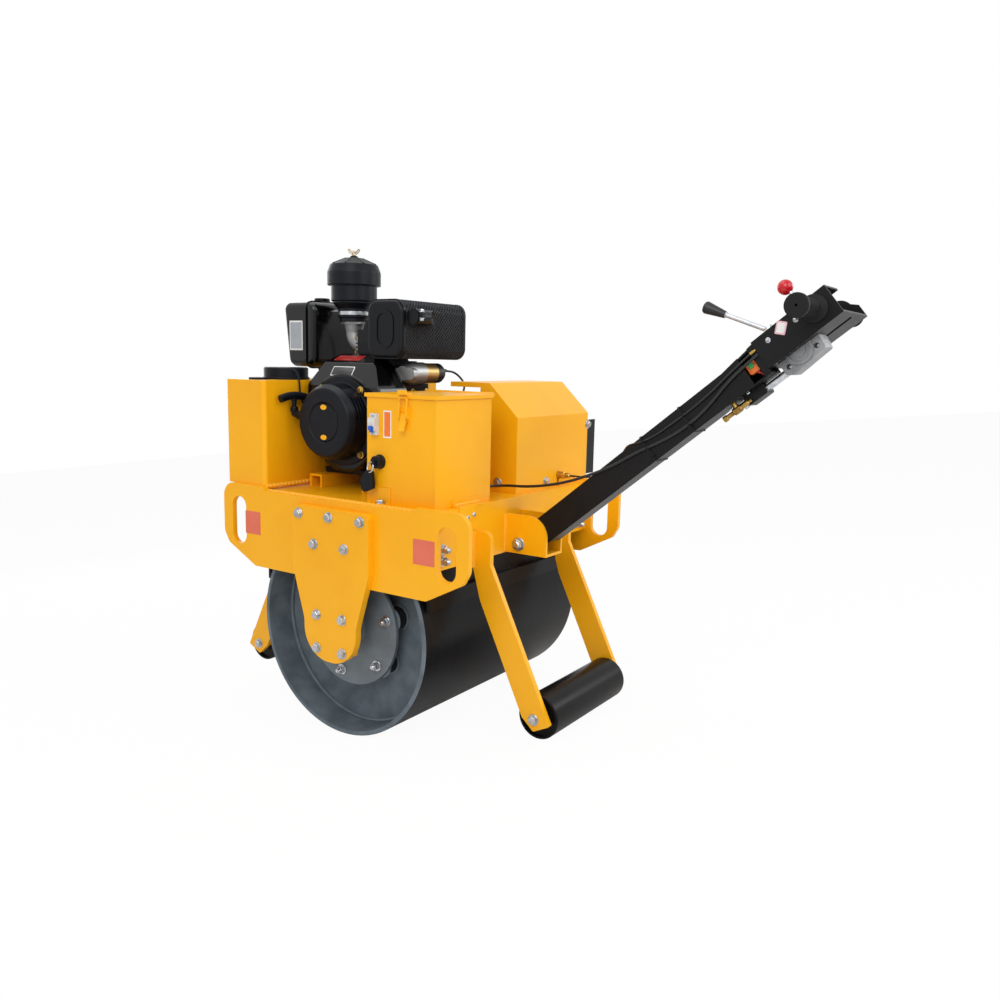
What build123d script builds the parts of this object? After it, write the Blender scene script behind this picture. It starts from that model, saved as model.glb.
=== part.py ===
from build123d import *
import math
import os

# Walk-behind single-drum vibratory road roller.
# Frame: +X front (tank end), -X rear (handle), +Y left, +Z up. Origin on the ground, under the drum.
# Pieces are modelled with the frame level. The machine rests on its drum and its rear support
# roller, so `save` turns each piece about the drum's axis by that lean.

# ---------------------------------------------------------------- driving dimensions (mm, degrees)
plate = 12.0                    # frame plate
sheet = 3.0                     # sheet metal of box, hood and tank
shell_wall = 2.0                # pressed tank and muffler
seat_gap = 0.3                  # curved or soft faces beside another piece
run_fit = 0.05                  # radial clearance of a turning fit
move_gap = 5.0                  # clearance beside a moving piece

drum_r = 235.0
drum_width = 600.0
drum_wall = 10.0
drum_round = 3.0
web_inset = 72.0                # drum edge to the web's outer face
web_wall = 10.0
weld = 6.0                      # leg of a weld fillet
isolator_r = 131.0
isolator_wall = 10.0
isolator_inset = 30.0           # drum edge to the disc's outer face
boss_r = 40.0
boss_height = 8.0
mount_r = 30.0                  # metal end plate of a rubber mount
mount_rubber_r = 25.0
mount_plate = 3.0
mount_count = 6
mount_circle_r = 106.0
mount_start = 44.0              # angle of the first mount
shaft_r = 22.0

side_gap = 6.0                  # drum edge to the inner face of a side plate
deck_gap = 36.0                 # top of the drum to the underside of the deck
side_length = 700.0
side_depth = 175.0              # deck top to the lowest edge of a side plate
lobe_length = 140.0             # raised end of a side plate
lobe_rise = 9.5
lobe_r = 33.0
slot_inset = 52.0               # end of a side plate to the middle of its lifting slot
slot_width = 46.0
slot_length = 109.0
slot_drop = 20.0                # deck top to the slot's upper end
end_gap = 7.0                   # drum to the inner face of an end plate
end_plate_depth = 119.0

hanger_wall = 16.0
hanger_drop = 16.0              # deck top to the hanger's upper edge
hanger_half = 110.0
hanger_waist = 146.0            # deck top to the end of the parallel stretch
hanger_nose_r = 75.0
bearing_size = 100.0
bearing_depth = 18.0
corner = 8.0                    # usual corner radius of a cut plate

roller_reach = 159.0            # end plate to the axis of a support roller
roller_lift = 42.0              # ground to the roller with the frame level
roller_r = 47.0
roller_wall = 5.0
roller_recess = 6.0
leg_outer_y = 168.0
leg_wall = 12.0
leg_top_width = 43.0
leg_top_drop = 52.0             # deck top to the leg's upper edge
axle_r = 10.0

scraper_rise = 76.0             # drum axis to the scraper's lower edge
scraper_height = 35.0
scraper_wall = 8.0
scraper_sheet = 6.0
scraper_length = 580.0
scraper_web = 70.0              # how far the web reaches above the end plate's lower edge
scraper_tab_y = 260.0
scraper_tab = 50.0

bracket_y = 16.5
bracket_width = 67.0
bracket_wall = 6.0
bracket_rise = 2.0              # end plate's lower edge to the bracket's underside
bracket_height = 86.0
bracket_reach = 106.0
bracket_r = 47.0
pivot_reach = 36.0              # end plate to the pivot
pivot_rise = 21.0               # bracket's underside to the pivot
pivot_r = 8.0
sleeve_wall = 6.0
pin_length = 91.0
arm_rise = 39.2                 # the arm's climb, degrees
arm_start = 62.0
arm_end = 652.0
arm_low = -36.0
arm_high = 20.0
arm_flare = 9.0                 # how much the arm's top rises over its length
arm_wall = 4.0
arm_gap = 1.0                   # arm to each ear of the bracket
window_start = 614.0
window_length = 24.0
head_wall = 4.0
head_near = 47.0
head_width = 178.0
head_low = -27.0
head_high = 31.0
head_end = 810.0
head_cut = 32.0                 # the far plate's cut-back corner
gusset_start = 575.0
grip_u = 773.5
grip_v = 8.6
grip_length = 105.0
grip_r = 17.0

box_inset = 19.0                # end plate to the rear face of the control box
box_length = 180.0
box_inner = 84.0
box_width = 192.0
box_height = 224.0
lid_lip = 5.0
lid_gap = 1.0
hinge_r = 5.0
pin_r = 2.5
battery_length = 130.0
battery_width = 150.0
battery_height = 157.0

hood_inset = 21.0               # end plate to the rear face of the hood
hood_length = 188.0
hood_inner = -22.0
hood_width = 326.0
hood_shoulder = 172.0           # deck top to the start of the slope
hood_slope_run = 78.0
hood_height = 247.0
hood_side = 103.0               # length of the hood's inner side panel
hood_lip = 8.0
bracket_leaf = 39.0
bracket_strip = 137.0

tank_inset = 5.0                # end of the side plates to the tank's front face
tank_length = 126.0
tank_height = 234.5
tank_edge = 8.0                 # tank's end to the outer face of a side plate
tank_r = 10.0
cap_y = 185.0
cap_r = 54.0
cap_height = 28.0
plug_y = 268.0
plug_r = 22.0

rail_width = 38.0
rail_height = 30.0
rail_wall = 5.0
rail_front_y = 194.0
rail_length = 330.0
crank_x = 98.0
crank_height = 126.0
foot_spread = 162.0
foot_margin = 22.0
foot_wall = 12.0
case_half = 72.0
case_back_y = -38.0
case_top = 84.0                 # crankshaft to the joint with the cylinder
cowl_back_y = 98.0
cowl_front_y = 190.0
cowl_rise = 150.0               # crankshaft to the top of the cowl
cowl_r = 112.0
cowl_top_half = 54.0
cowl_shift = 24.0               # crankshaft to the middle of the cowl's top
recoil_flange_r = 100.0
recoil_drum_r = 86.0
recoil_face_r = 74.0
recoil_height = 60.0
recoil_wall = 3.0
recess_r = 45.0
vent_width = 4.5
vent_pitch = 9.0
vent_count = 4
vent_groups = [(80, 38), (138, 36), (-118, 34), (-50, 34)]     # first angle, sweep
cylinder_y = 48.0
barrel_half = 46.0
fin_count = 6
fin_pitch = 9.0
fin_wall = 3.0
fin_half = 62.0
head_rise = 138.0               # crankshaft to the joint of the head
head_block_height = 68.0
rocker_height = 23.0
muffler_x = 3.0                 # middle of the muffler
muffler_rise = 143.0
muffler_width = 98.0
muffler_height = 124.0
muffler_near = 158.0
muffler_length = 234.0
muffler_r = 24.0
muffler_rim = 2.5
outlet_r = 16.0
outlet_y = 55.0
outlet_length = 88.0
fuel_x = 185.0                  # crankshaft to the tank's seam
fuel_rise = 117.0
fuel_height = 153.0
fuel_front = 82.0               # seam to the tank's front
fuel_rear = 28.0
fuel_taper = 18.0               # how much shorter the front half is at the bottom
fuel_near = 118.0
fuel_length = 232.0
fuel_r = 24.0
fuel_edge = 14.0
seam_lip = 4.0
filter_dx = 92.0                # crankshaft to the filter's axis
filter_y = 52.0
filter_rise = 225.0
elbow_r = 19.0
elbow_bend = 30.0
starter_r = 25.0
starter_rise = 109.0
starter_rear_y = -38.0
guard_wall = 50.0
guard_y = -165.0
guard_r = 75.0
pump_x = -115.0
pump_rise = 82.0

clamp_start = 575.0
clamp_length = 45.0
clamp_depth = 20.0
rod_start = 548.0
rod_drop = 10.0                 # arm's underside to a control rod's middle
rod_r = 6.0
cock_start = 525.0
cock_y = 28.0
ball_r = 14.0
cable_r = 3.0
entry_r = 9.0                   # hole in the hood for the control cable

# ---------------------------------------------------------------- derived places
drum_half = drum_width / 2
side_inner = drum_half + side_gap
side_outer = side_inner + plate
hanger_outer = side_outer + hanger_wall
deck_low = 2 * drum_r + deck_gap
deck_top = deck_low + plate
lobe_top = deck_top + lobe_rise
side_end = side_length / 2
slot_x = side_end - slot_inset
slot_high = deck_top - slot_drop
slot_low = slot_high - slot_length
end_plate_x = drum_r + end_gap + plate
end_plate_low = deck_top - end_plate_depth
roller_x = end_plate_x + roller_reach
roller_z = roller_lift + roller_r
roller_half = leg_outer_y - leg_wall - move_gap
bracket_low = end_plate_low + bracket_rise
pivot_x = -end_plate_x - pivot_reach
pivot_z = bracket_low + pivot_rise
head_far = head_near - head_width
box_rear = box_inset - end_plate_x
box_front = box_rear + box_length
box_outer = box_inner + box_width
box_top = deck_top + box_height
hood_rear = hood_inset - end_plate_x
hood_front = hood_rear + hood_length
hood_far = hood_inner - hood_width
hood_top = deck_top + hood_height
tank_front = side_end - tank_inset
tank_rear = tank_front - tank_length
tank_top = lobe_top + tank_height
tank_x = (tank_front + tank_rear) / 2
rail_top = deck_top + rail_height
crank_z = rail_top + crank_height
muffler_low = crank_z + muffler_rise
muffler_top = muffler_low + muffler_height
fuel_seam_x = crank_x + fuel_x
fuel_low = crank_z + fuel_rise
fuel_top = fuel_low + fuel_height
filter_x = crank_x + filter_dx
filter_z = crank_z + filter_rise
starter_x = crank_x - case_half - starter_r - seat_gap
starter_z = crank_z + starter_rise
lean = math.degrees(math.asin((drum_r - roller_r) / math.hypot(roller_x, drum_r - roller_z))
                    - math.atan2(drum_r - roller_z, roller_x))
AXLE = Axis((0, 0, drum_r), (0, 1, 0))

os.makedirs("parts", exist_ok=True)


# ---------------------------------------------------------------- helpers
def save(name, *pieces):
    """Write one node: its solids, turned to the stance the machine rests in."""
    leaning = [piece.rotate(AXLE, -lean) for piece in pieces]
    export_step(leaning[0] if len(leaning) == 1 else Compound(children=leaning), f"parts/{name}.step")


def outline(rows):
    """Closed outline from rows (a, b, corner radius)."""
    corners = []
    for index, (a, b, radius) in enumerate(rows):
        here = Vector(a, b)
        back = (Vector(*rows[index - 1][:2]) - here).normalized()
        ahead = (Vector(*rows[(index + 1) % len(rows)][:2]) - here).normalized()
        half = math.radians(back.get_angle(ahead)) / 2
        if radius:
            reach = radius / math.tan(half)
            middle = here + (back + ahead).normalized() * (radius / math.sin(half) - radius)
            corners.append((here + back * reach, middle, here + ahead * reach))
        else:
            corners.append((here, None, here))
    edges = []
    for index, (start, middle, stop) in enumerate(corners):
        if middle:
            edges.append(ThreePointArc(start, middle, stop))
        following = corners[(index + 1) % len(corners)][0]
        if (following - stop).length > 1e-6:
            edges.append(Line(stop, following))
    return Face(Wire(edges))


def across(rows, y0, y1):
    """Plate between y0 and y1 from rows (x, z, corner radius)."""
    plane = Plane(origin=(0, y1, 0), x_dir=(1, 0, 0), z_dir=(0, -1, 0))
    return extrude(plane * outline(rows), y1 - y0, dir=plane.z_dir)


def along(rows, x0, x1):
    """Plate between x0 and x1 from rows (y, z, corner radius)."""
    plane = Plane(origin=(x0, 0, 0), x_dir=(0, 1, 0), z_dir=(1, 0, 0))
    return extrude(plane * outline(rows), x1 - x0, dir=plane.z_dir)


def flat(rows, z0, z1):
    """Plate between z0 and z1 from rows (x, y, corner radius)."""
    return extrude(Pos(0, 0, z0) * outline(rows), z1 - z0, dir=(0, 0, 1))


def ring_of(a0, a1, b0, b1, radius):
    """Rows of a rectangle with equal corners."""
    return [(a0, b0, radius), (a1, b0, radius), (a1, b1, radius), (a0, b1, radius)]


def block(x0, x1, y0, y1, z0, z1):
    return Pos((x0 + x1) / 2, (y0 + y1) / 2, (z0 + z1) / 2) * Box(x1 - x0, y1 - y0, z1 - z0)


def rod(start, stop, radius):
    """Round bar between two points."""
    start, stop = Vector(*start), Vector(*stop)
    plane = Plane(origin=start, z_dir=stop - start)
    return extrude(plane * Circle(radius), (stop - start).length)


def bar_y(x, z, y0, y1, radius):
    """Round bar along Y."""
    return rod((x, y0, z), (x, y1, z), radius)


def turned(rows, origin, direction):
    """Solid of revolution about an axis from rows (radius, place along the axis, corner radius)."""
    plane = Plane(origin=origin, x_dir=Vector(*direction).cross(Vector(0.31, 0.52, 0.79)), z_dir=direction)
    return plane * revolve(Plane.XZ * outline(rows), Axis.Z, 360)


def rounded(x0, x1, y0, y1, z0, z1, radius):
    """Block with its upright edges rounded."""
    return flat(ring_of(x0, x1, y0, y1, radius), z0, z1)


def pressed(rows, y0, y1, edge):
    """Plate from `across` with both end faces rounded off."""
    body = across(rows, y0, y1)
    ends = body.faces().sort_by(Axis.Y)
    return fillet(ends[0].edges() + ends[-1].edges(), edge)


def shrink(rows, wall):
    """Rows of a rectangle-like outline moved inwards by a wall."""
    middle = Vector(sum(row[0] for row in rows) / len(rows), sum(row[1] for row in rows) / len(rows))
    return [(a - math.copysign(wall, a - middle.X), b - math.copysign(wall, b - middle.Y), max(radius - wall, 1))
            for a, b, radius in rows]


def vessel(rows, y0, y1, edge, wall):
    """Closed sheet vessel: a pressed shape with an empty inside."""
    return pressed(rows, y0, y1, edge) - pressed(shrink(rows, wall), y0 + wall, y1 - wall, edge - wall)


def cable(points, radius):
    """Tube along straight runs joined by arcs as large as the runs allow."""
    spots = [Vector(*point) for point in points]
    radii = []
    for before, here, after in zip(spots, spots[1:], spots[2:]):
        turn = math.radians((here - before).get_angle(after - here))
        shorter = min((here - before).length, (after - here).length)
        radii.append(0.45 * shorter / math.tan(turn / 2))
    print("cable bend radii", [round(value) for value in radii])
    path = FilletPolyline(*spots, radius=radii)
    return sweep(Plane(origin=spots[0], z_dir=spots[1] - spots[0]) * Circle(radius), path=path)


def mirror_y(shape):
    return mirror(shape, about=Plane.XZ)


def mirror_x(shape):
    return mirror(shape, about=Plane.YZ)


# ---------------------------------------------------------------- drum
def drum():
    web_outer = drum_half - web_inset
    web_inner = web_outer - web_wall
    bore = drum_r - drum_wall
    centre, left = (0, 0, drum_r), (0, 1, 0)
    shell = turned([(bore, -drum_half, 0), (drum_r, -drum_half, drum_round),
                    (drum_r, drum_half, drum_round), (bore, drum_half, 0)], centre, left)
    web = turned([(0, web_inner, 0), (bore + drum_wall / 2, web_inner, 0), (bore + drum_wall / 2, web_outer, 0),
                  (0, web_outer, 0)], centre, left)
    web += turned([(bore - weld, web_outer, 0), (bore + 1, web_outer, 0), (bore + 1, web_outer + weld, 0),
                   (bore, web_outer + weld, 0)], centre, left)
    save("drum_shell", shell + web + mirror_y(web))

    disc_outer = drum_half - isolator_inset
    disc_inner = disc_outer - isolator_wall
    mounts = []
    for index in range(mount_count):
        angle = math.radians(mount_start + 360 / mount_count * index)
        spot = (mount_circle_r * math.cos(angle), 0, drum_r + mount_circle_r * math.sin(angle))
        mounts.append(turned([
            (0, web_outer, 0), (mount_r, web_outer, 1), (mount_r, web_outer + mount_plate, 0),
            (mount_rubber_r, web_outer + mount_plate, 0), (mount_rubber_r, disc_inner - mount_plate, 0),
            (mount_r, disc_inner - mount_plate, 0), (mount_r, disc_inner, 1), (0, disc_inner, 0),
        ], spot, left))
    disc = turned([
        (0, disc_inner, 0), (isolator_r, disc_inner, 2), (isolator_r, disc_outer, 2), (boss_r, disc_outer, 3),
        (boss_r, disc_outer + boss_height, 2), (shaft_r, disc_outer + boss_height, 0),
        (shaft_r, side_outer - 2, 1), (0, side_outer - 2, 0),
    ], centre, left)
    save("rubber_mounts_left", *mounts)
    save("rubber_mounts_right", *[mirror_y(mount) for mount in mounts])
    save("isolator_disc_left", disc)
    save("isolator_disc_right", mirror_y(disc))


# ---------------------------------------------------------------- frame
def frame():
    lobe_x = side_end - lobe_length
    half_outline = [                                # x, z, corner radius
        (side_end, lobe_top, lobe_r), (side_end, deck_top - 105, 30), (side_end - 15, deck_top - 130, 12),
        (side_end - 103, deck_top - side_depth, 10),
    ]
    rows = [(lobe_x, deck_top, 4), (lobe_x + 10, lobe_top, 4)] + half_outline
    rows += [(-x, z, r) for x, z, r in reversed(rows)]
    side = across(rows, side_inner, side_outer)
    for sign in (-1, 1):
        x = sign * slot_x
        side -= across(ring_of(x - slot_width / 2, x + slot_width / 2, slot_low, slot_high, slot_width / 2 - 1),
                       side_inner - 1, side_outer + 1)
    save("side_plate_left", side)
    save("side_plate_right", mirror_y(side))

    deck = block(-end_plate_x, end_plate_x, -side_inner, side_inner, deck_low, deck_top)
    for sign in (-1, 1):
        faces = sorted((sign * end_plate_x, sign * (end_plate_x - plate)))
        deck += block(*faces, -side_inner, side_inner, end_plate_low, deck_low)
    save("deck_frame", deck)

    top = deck_top - hanger_drop
    waist = deck_top - hanger_waist
    shoulder, chin = drum_r + 20, drum_r - 65
    hanger = across([
        (-hanger_half, top, 12), (-hanger_half, waist, 30), (-hanger_nose_r, shoulder, 60),
        (-hanger_nose_r, chin, 70), (hanger_nose_r, chin, 70), (hanger_nose_r, shoulder, 60),
        (hanger_half, waist, 30), (hanger_half, top, 12),
    ], side_outer, hanger_outer)
    save("hanger_left", hanger)
    save("hanger_right", mirror_y(hanger))

    half = bearing_size / 2
    inner = side_outer - bearing_depth
    housing = across(ring_of(-half, half, drum_r - half, drum_r + half, corner), inner, side_outer)
    housing -= bar_y(0, drum_r, inner, side_outer, shaft_r + run_fit)
    save("bearing_left", housing)
    save("bearing_right", mirror_y(housing))


# ---------------------------------------------------------------- support rollers and scrapers
def support_rollers():
    heel = end_plate_x + leg_top_width
    top = deck_top - leg_top_drop
    leg_rows = [                                    # x, z, corner radius
        (-end_plate_x, top, 0), (-heel, top, 20), (-heel, top - 70, 0), (-roller_x - 37, roller_z - 7, 4),
        (-roller_x + 1, roller_z - 26, 4), (-roller_x + 29, roller_z - 1, 4), (-end_plate_x - 19, top - 148, 0),
        (-end_plate_x, top - 82, 0),
    ]
    leg = across(leg_rows, leg_outer_y - leg_wall, leg_outer_y)
    leg -= bar_y(-roller_x, roller_z, leg_outer_y - leg_wall, leg_outer_y, axle_r)
    axle = bar_y(-roller_x, roller_z, -leg_outer_y, leg_outer_y, axle_r)
    bore = roller_r - roller_wall
    hub_outer = roller_half - roller_recess
    hub_inner = hub_outer - roller_wall * 2
    profile = [                                     # radius, y, corner radius
        (axle_r + run_fit, hub_outer, 0), (bore, hub_outer, 0), (bore, roller_half, 0),
        (roller_r, roller_half, 2), (roller_r, 0, 0), (bore, 0, 0), (bore, hub_inner, 0),
        (axle_r + run_fit, hub_inner, 0),
    ]
    half = turned(profile, (-roller_x, 0, roller_z), (0, 1, 0))
    roller = half + mirror_y(half)
    for end, turn in (("rear", lambda shape: shape), ("front", mirror_x)):
        save(f"leg_{end}_left", turn(leg))
        save(f"leg_{end}_right", turn(mirror_y(leg)))
        save(f"{end}_axle", turn(axle))
        save(f"{end}_roller", turn(roller))


def scrapers():
    low = drum_r + scraper_rise
    high = low + scraper_height
    inner = -math.sqrt(drum_r ** 2 - scraper_rise ** 2) - move_gap
    outer = inner - scraper_wall
    web_inner = -math.sqrt(drum_r ** 2 - (high - scraper_sheet - drum_r) ** 2) - move_gap
    web_outer = web_inner - scraper_sheet
    top = end_plate_low + scraper_web
    half = scraper_length / 2
    profile = [                                     # x, z, corner radius
        (outer, low, 0), (inner, low, 2), (inner, high - scraper_sheet, 0), (web_inner, high - scraper_sheet, 3),
        (web_inner, top, 0), (web_outer, top, 0), (web_outer, high, 2), (outer, high, 2),
    ]
    bar = across(profile, -half, half)
    for y in (-scraper_tab_y, scraper_tab_y):
        bar += block(plate - end_plate_x, web_outer, y - scraper_tab / 2, y + scraper_tab / 2, end_plate_low + 8, top)
    save("scraper_rear", bar)
    save("scraper_front", mirror_x(bar))


# ---------------------------------------------------------------- control box
def control_box():
    box = block(box_rear, box_front, box_inner, box_outer, deck_top, box_top)
    box -= block(box_rear + sheet, box_front - sheet, box_inner + sheet, box_outer - sheet, deck_top + sheet, box_top)
    hinge_y, hinge_z = box_inner - hinge_r - 1, box_top + seat_gap + sheet / 2
    third = box_length / 3
    for x in (box_rear, box_front - third):
        box += rod((x, hinge_y, hinge_z), (x + third, hinge_y, hinge_z), hinge_r)
        box += block(x, x + third, hinge_y, box_inner, box_top - hinge_r + 2, box_top)
    box += rod((box_rear, hinge_y, hinge_z), (box_front, hinge_y, hinge_z), pin_r)
    tab_x = box_front - 50
    box += flat(ring_of(tab_x - 17, tab_x + 17, box_outer, box_outer + 28, 6), deck_top, deck_top + sheet)
    box += block(tab_x - 16, tab_x + 16, box_outer, box_outer + sheet, deck_top, deck_top + 34)
    box += rod((box_rear + 40, box_inner - 8, deck_top + 22), (box_rear + 40, box_inner, deck_top + 22), 8)

    leaf_y0, leaf_y1 = box_outer - 139, box_outer - 54
    leaf = block(box_rear - sheet, box_rear, leaf_y0, leaf_y1, deck_top + 2, deck_top + 16)
    foot = block(-end_plate_x - sheet, box_rear - sheet, leaf_y0, leaf_y1, deck_top, deck_top + sheet)
    foot += block(-end_plate_x - sheet, -end_plate_x, leaf_y0 + 28, leaf_y1, deck_top - 28, deck_top)
    barrel_x, barrel_z = box_rear - sheet - 3, deck_top + sheet + 1.5
    foot += rod((barrel_x, leaf_y0, barrel_z), (barrel_x, leaf_y1, barrel_z), 4)
    box += leaf + foot
    save("control_box", box)

    edge = lid_gap + sheet
    middle = (box_rear + third + 0.5, box_front - third - 0.5)
    lid = block(box_rear - edge, box_front + edge, box_inner - lid_gap, box_outer + edge,
                box_top + seat_gap - lid_lip, box_top + seat_gap + sheet)
    lid -= block(box_rear - lid_gap, box_front + lid_gap, box_inner - lid_gap, box_outer + lid_gap,
                 box_top + seat_gap - lid_lip, box_top + seat_gap)
    lid += rod((middle[0], hinge_y, hinge_z), (middle[1], hinge_y, hinge_z), hinge_r)
    lid += block(*middle, hinge_y, box_inner, box_top + seat_gap, box_top + seat_gap + sheet)
    lid -= rod((box_rear, hinge_y, hinge_z), (box_front, hinge_y, hinge_z), pin_r + run_fit)
    latch_x = box_front - 102
    lid_top = box_top + seat_gap + sheet
    catch = along([(box_outer - 8, lid_top, 0), (box_outer + edge + 7, lid_top, 0), (box_outer + edge + 7, lid_top + 9, 1),
                   (box_outer + edge + 4, lid_top + 9, 1), (box_outer + edge + 4, lid_top + 3, 0),
                   (box_outer - 8, lid_top + 3, 0)], latch_x - 11, latch_x + 11)
    save("box_lid", lid + catch)

    save("battery", block(box_rear + 12, box_rear + 12 + battery_length, box_inner + 20, box_inner + 20 + battery_width,
                          deck_top + sheet, deck_top + sheet + battery_height))
    box_fittings(latch_x)


def box_fittings(latch_x):
    """Toggle latch, circuit breaker and key switch on the box's outer side."""
    face, head = box_outer, box_top + 11
    latch = across(ring_of(latch_x - 14, latch_x + 14, head - 62, head - 28, 3), face, face + 2)
    for sign in (-1, 1):
        x = latch_x + sign * 10
        latch += along([(face + 1, head - 60, 0), (face + 1, head - 32, 0), (face + 10, head - 36, 3),
                        (face + 10, head - 54, 3)], x - 2.5, x + 2.5)
    bail_y = face + 7
    bail = FilletPolyline((latch_x - 10, bail_y, head - 42), (latch_x - 10, bail_y, head - 14),
                          (latch_x + 10, bail_y, head - 14), (latch_x + 10, bail_y, head - 42), radius=5)
    latch += sweep(Plane(origin=bail @ 0, z_dir=(0, 0, 1)) * Circle(1.8), path=bail)
    latch += along([(face + 1, head - 58, 0), (face + 1, head - 46, 0), (face + 6, head - 44, 2),
                    (face + 9, head - 66, 4), (face + 14, head - 80, 1), (face + 12, head - 83, 1),
                    (face + 6, head - 68, 4)], latch_x - 7, latch_x + 7)
    save("lid_latch", latch)

    breaker_x, breaker_z = box_front - 24, deck_top + 164
    breaker = block(breaker_x - 9, breaker_x + 9, face, face + 9, breaker_z - 22, breaker_z + 22)
    breaker += block(breaker_x - 9, breaker_x + 9, face + 9, face + 15, breaker_z - 13, breaker_z + 13)
    breaker += across(ring_of(breaker_x - 4, breaker_x + 4, breaker_z - 12, breaker_z - 3, 1), face + 15, face + 20)
    save("breaker", breaker)

    key_x, key_z = box_front - 36, deck_top + 87
    knob = turned([(0, 0, 0), (15, 0, 0), (15, 4, 1), (13, 5, 1), (13, 17, 2), (0, 17, 0)], (key_x, face, key_z), (0, 1, 0))
    bow = across(ring_of(key_x - 5, key_x + 5, key_z - 9, key_z + 5, 3), face + 17, face + 19)
    bow += rod((key_x, face + 17, key_z), (key_x, face + 22, key_z), 4)
    fob = across([(key_x + 6, key_z - 19, 4), (key_x + 20, key_z - 17, 5), (key_x + 38, key_z - 40, 8),
                  (key_x + 30, key_z - 66, 8), (key_x + 2, key_z - 54, 8)], face + 12, face + 21)
    loop = Plane(origin=(key_x + 11, face + 18, key_z - 11), z_dir=(0.3, 1, 0.2)) * Torus(11, 1)
    save("key_switch", knob + bow + loop + fob)


# ---------------------------------------------------------------- hood, pump and front tank
def hood():
    shoulder = deck_top + hood_shoulder
    slope_end = hood_rear + hood_slope_run
    rows = [                                        # x, z, corner radius
        (hood_rear, deck_top, 0), (hood_rear, shoulder, 2), (slope_end, hood_top, 2), (hood_front, hood_top, 0),
        (hood_front, deck_top, 0),
    ]
    inner = [
        (hood_rear + sheet, deck_top - 1, 0), (hood_rear + sheet, shoulder - 1, 0),
        (slope_end + 1, hood_top - sheet, 0), (hood_front + 1, hood_top - sheet, 0), (hood_front + 1, deck_top - 1, 0),
    ]
    cover = across(rows, hood_far, hood_inner) - across(inner, hood_far + sheet, hood_inner - sheet)
    cover -= block(hood_rear + hood_side, hood_front + 1, hood_inner - sheet - 1, hood_inner + 1,
                   deck_top - 1, hood_top - sheet - hood_lip)
    cover -= block(hood_rear - 1, lobe_length - side_end + 5, hood_far - 1, 1 - side_inner,
                   deck_top - 1, lobe_top + 1)
    fitting_y, fitting_z = hood_inner - 187, deck_top + 27
    cover -= rod((hood_rear - 1, fitting_y, fitting_z), (hood_rear + sheet + 1, fitting_y, fitting_z), entry_r)
    cover -= block(hood_rear - 1, hood_rear + sheet + 1, fitting_y - 5, fitting_y + 5, deck_top - 1, fitting_z)
    save("hood", cover)

    strip_low = deck_top + 17
    strip = flat([(hood_rear, hood_far, 0), (hood_rear, hood_far - bracket_leaf, 0),
                  (hood_rear + 4, hood_far - bracket_leaf, 0), (hood_rear + 4, hood_far - 4, 0),
                  (hood_rear + bracket_leaf, hood_far - 4, 0), (hood_rear + bracket_leaf, hood_far, 0)],
                 strip_low, strip_low + bracket_strip)
    save("hood_bracket", strip)

    pump_z = deck_top + pump_rise
    pump = turned([(0, 0, 0), (34, 0, 0), (34, 12, 2), (26, 14, 4), (26, 62, 4), (32, 64, 2), (32, 84, 3), (0, 84, 0)],
                  (pump_x, guard_y, pump_z), (0, -1, 0))
    pump += rounded(pump_x - 30, pump_x + 30, guard_y - 50, guard_y - 6, deck_top, pump_z - 20, 4)
    pump += rod((pump_x, guard_y - 40, pump_z), (pump_x, guard_y - 40, pump_z + 42), 11)
    save("hydraulic_pump", pump)


def front_tank():
    half = side_outer - tank_edge
    body = rounded(tank_rear, tank_front, -half, half, lobe_top, tank_top, tank_r)
    body -= rounded(tank_rear + sheet, tank_front - sheet, -half + sheet, half - sheet, lobe_top + sheet,
                    tank_top - sheet, tank_r - sheet)
    save("front_tank", body)
    cap = turned([(0, 0, 0), (cap_r, 0, 0), (cap_r, 5, 1), (cap_r - 3, 6, 0), (cap_r - 3, cap_height, 4), (0, cap_height, 0)],
                 (tank_x, cap_y, tank_top), (0, 0, 1))
    plug = turned([(0, 0, 0), (plug_r, 0, 0), (plug_r, 5, 2), (0, 6, 0)], (tank_x, plug_y, tank_top), (0, 0, 1))
    spout_y = cap_y + 22
    fall = [(0, 0, cap_height - 3), (-30, 0, cap_height - 9), (-37, 1, -8), (-34, -2, -34), (-34, -16, -62), (-34, -40, -88),
            (-34, -62, -116), (-34, -74, -148), (-34, -78, -184)]
    hose = cable([(tank_rear + 31 + dx, spout_y + dy, tank_top + dz) for dx, dy, dz in fall], 2)
    save("tank_cap", cap + hose, plug)


# ---------------------------------------------------------------- engine
def engine():
    engine_base()
    cylinder()
    fan_cowl()
    recoil_starter()
    exhaust()
    intake()
    fuel_system()
    starter_and_belt()


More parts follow.
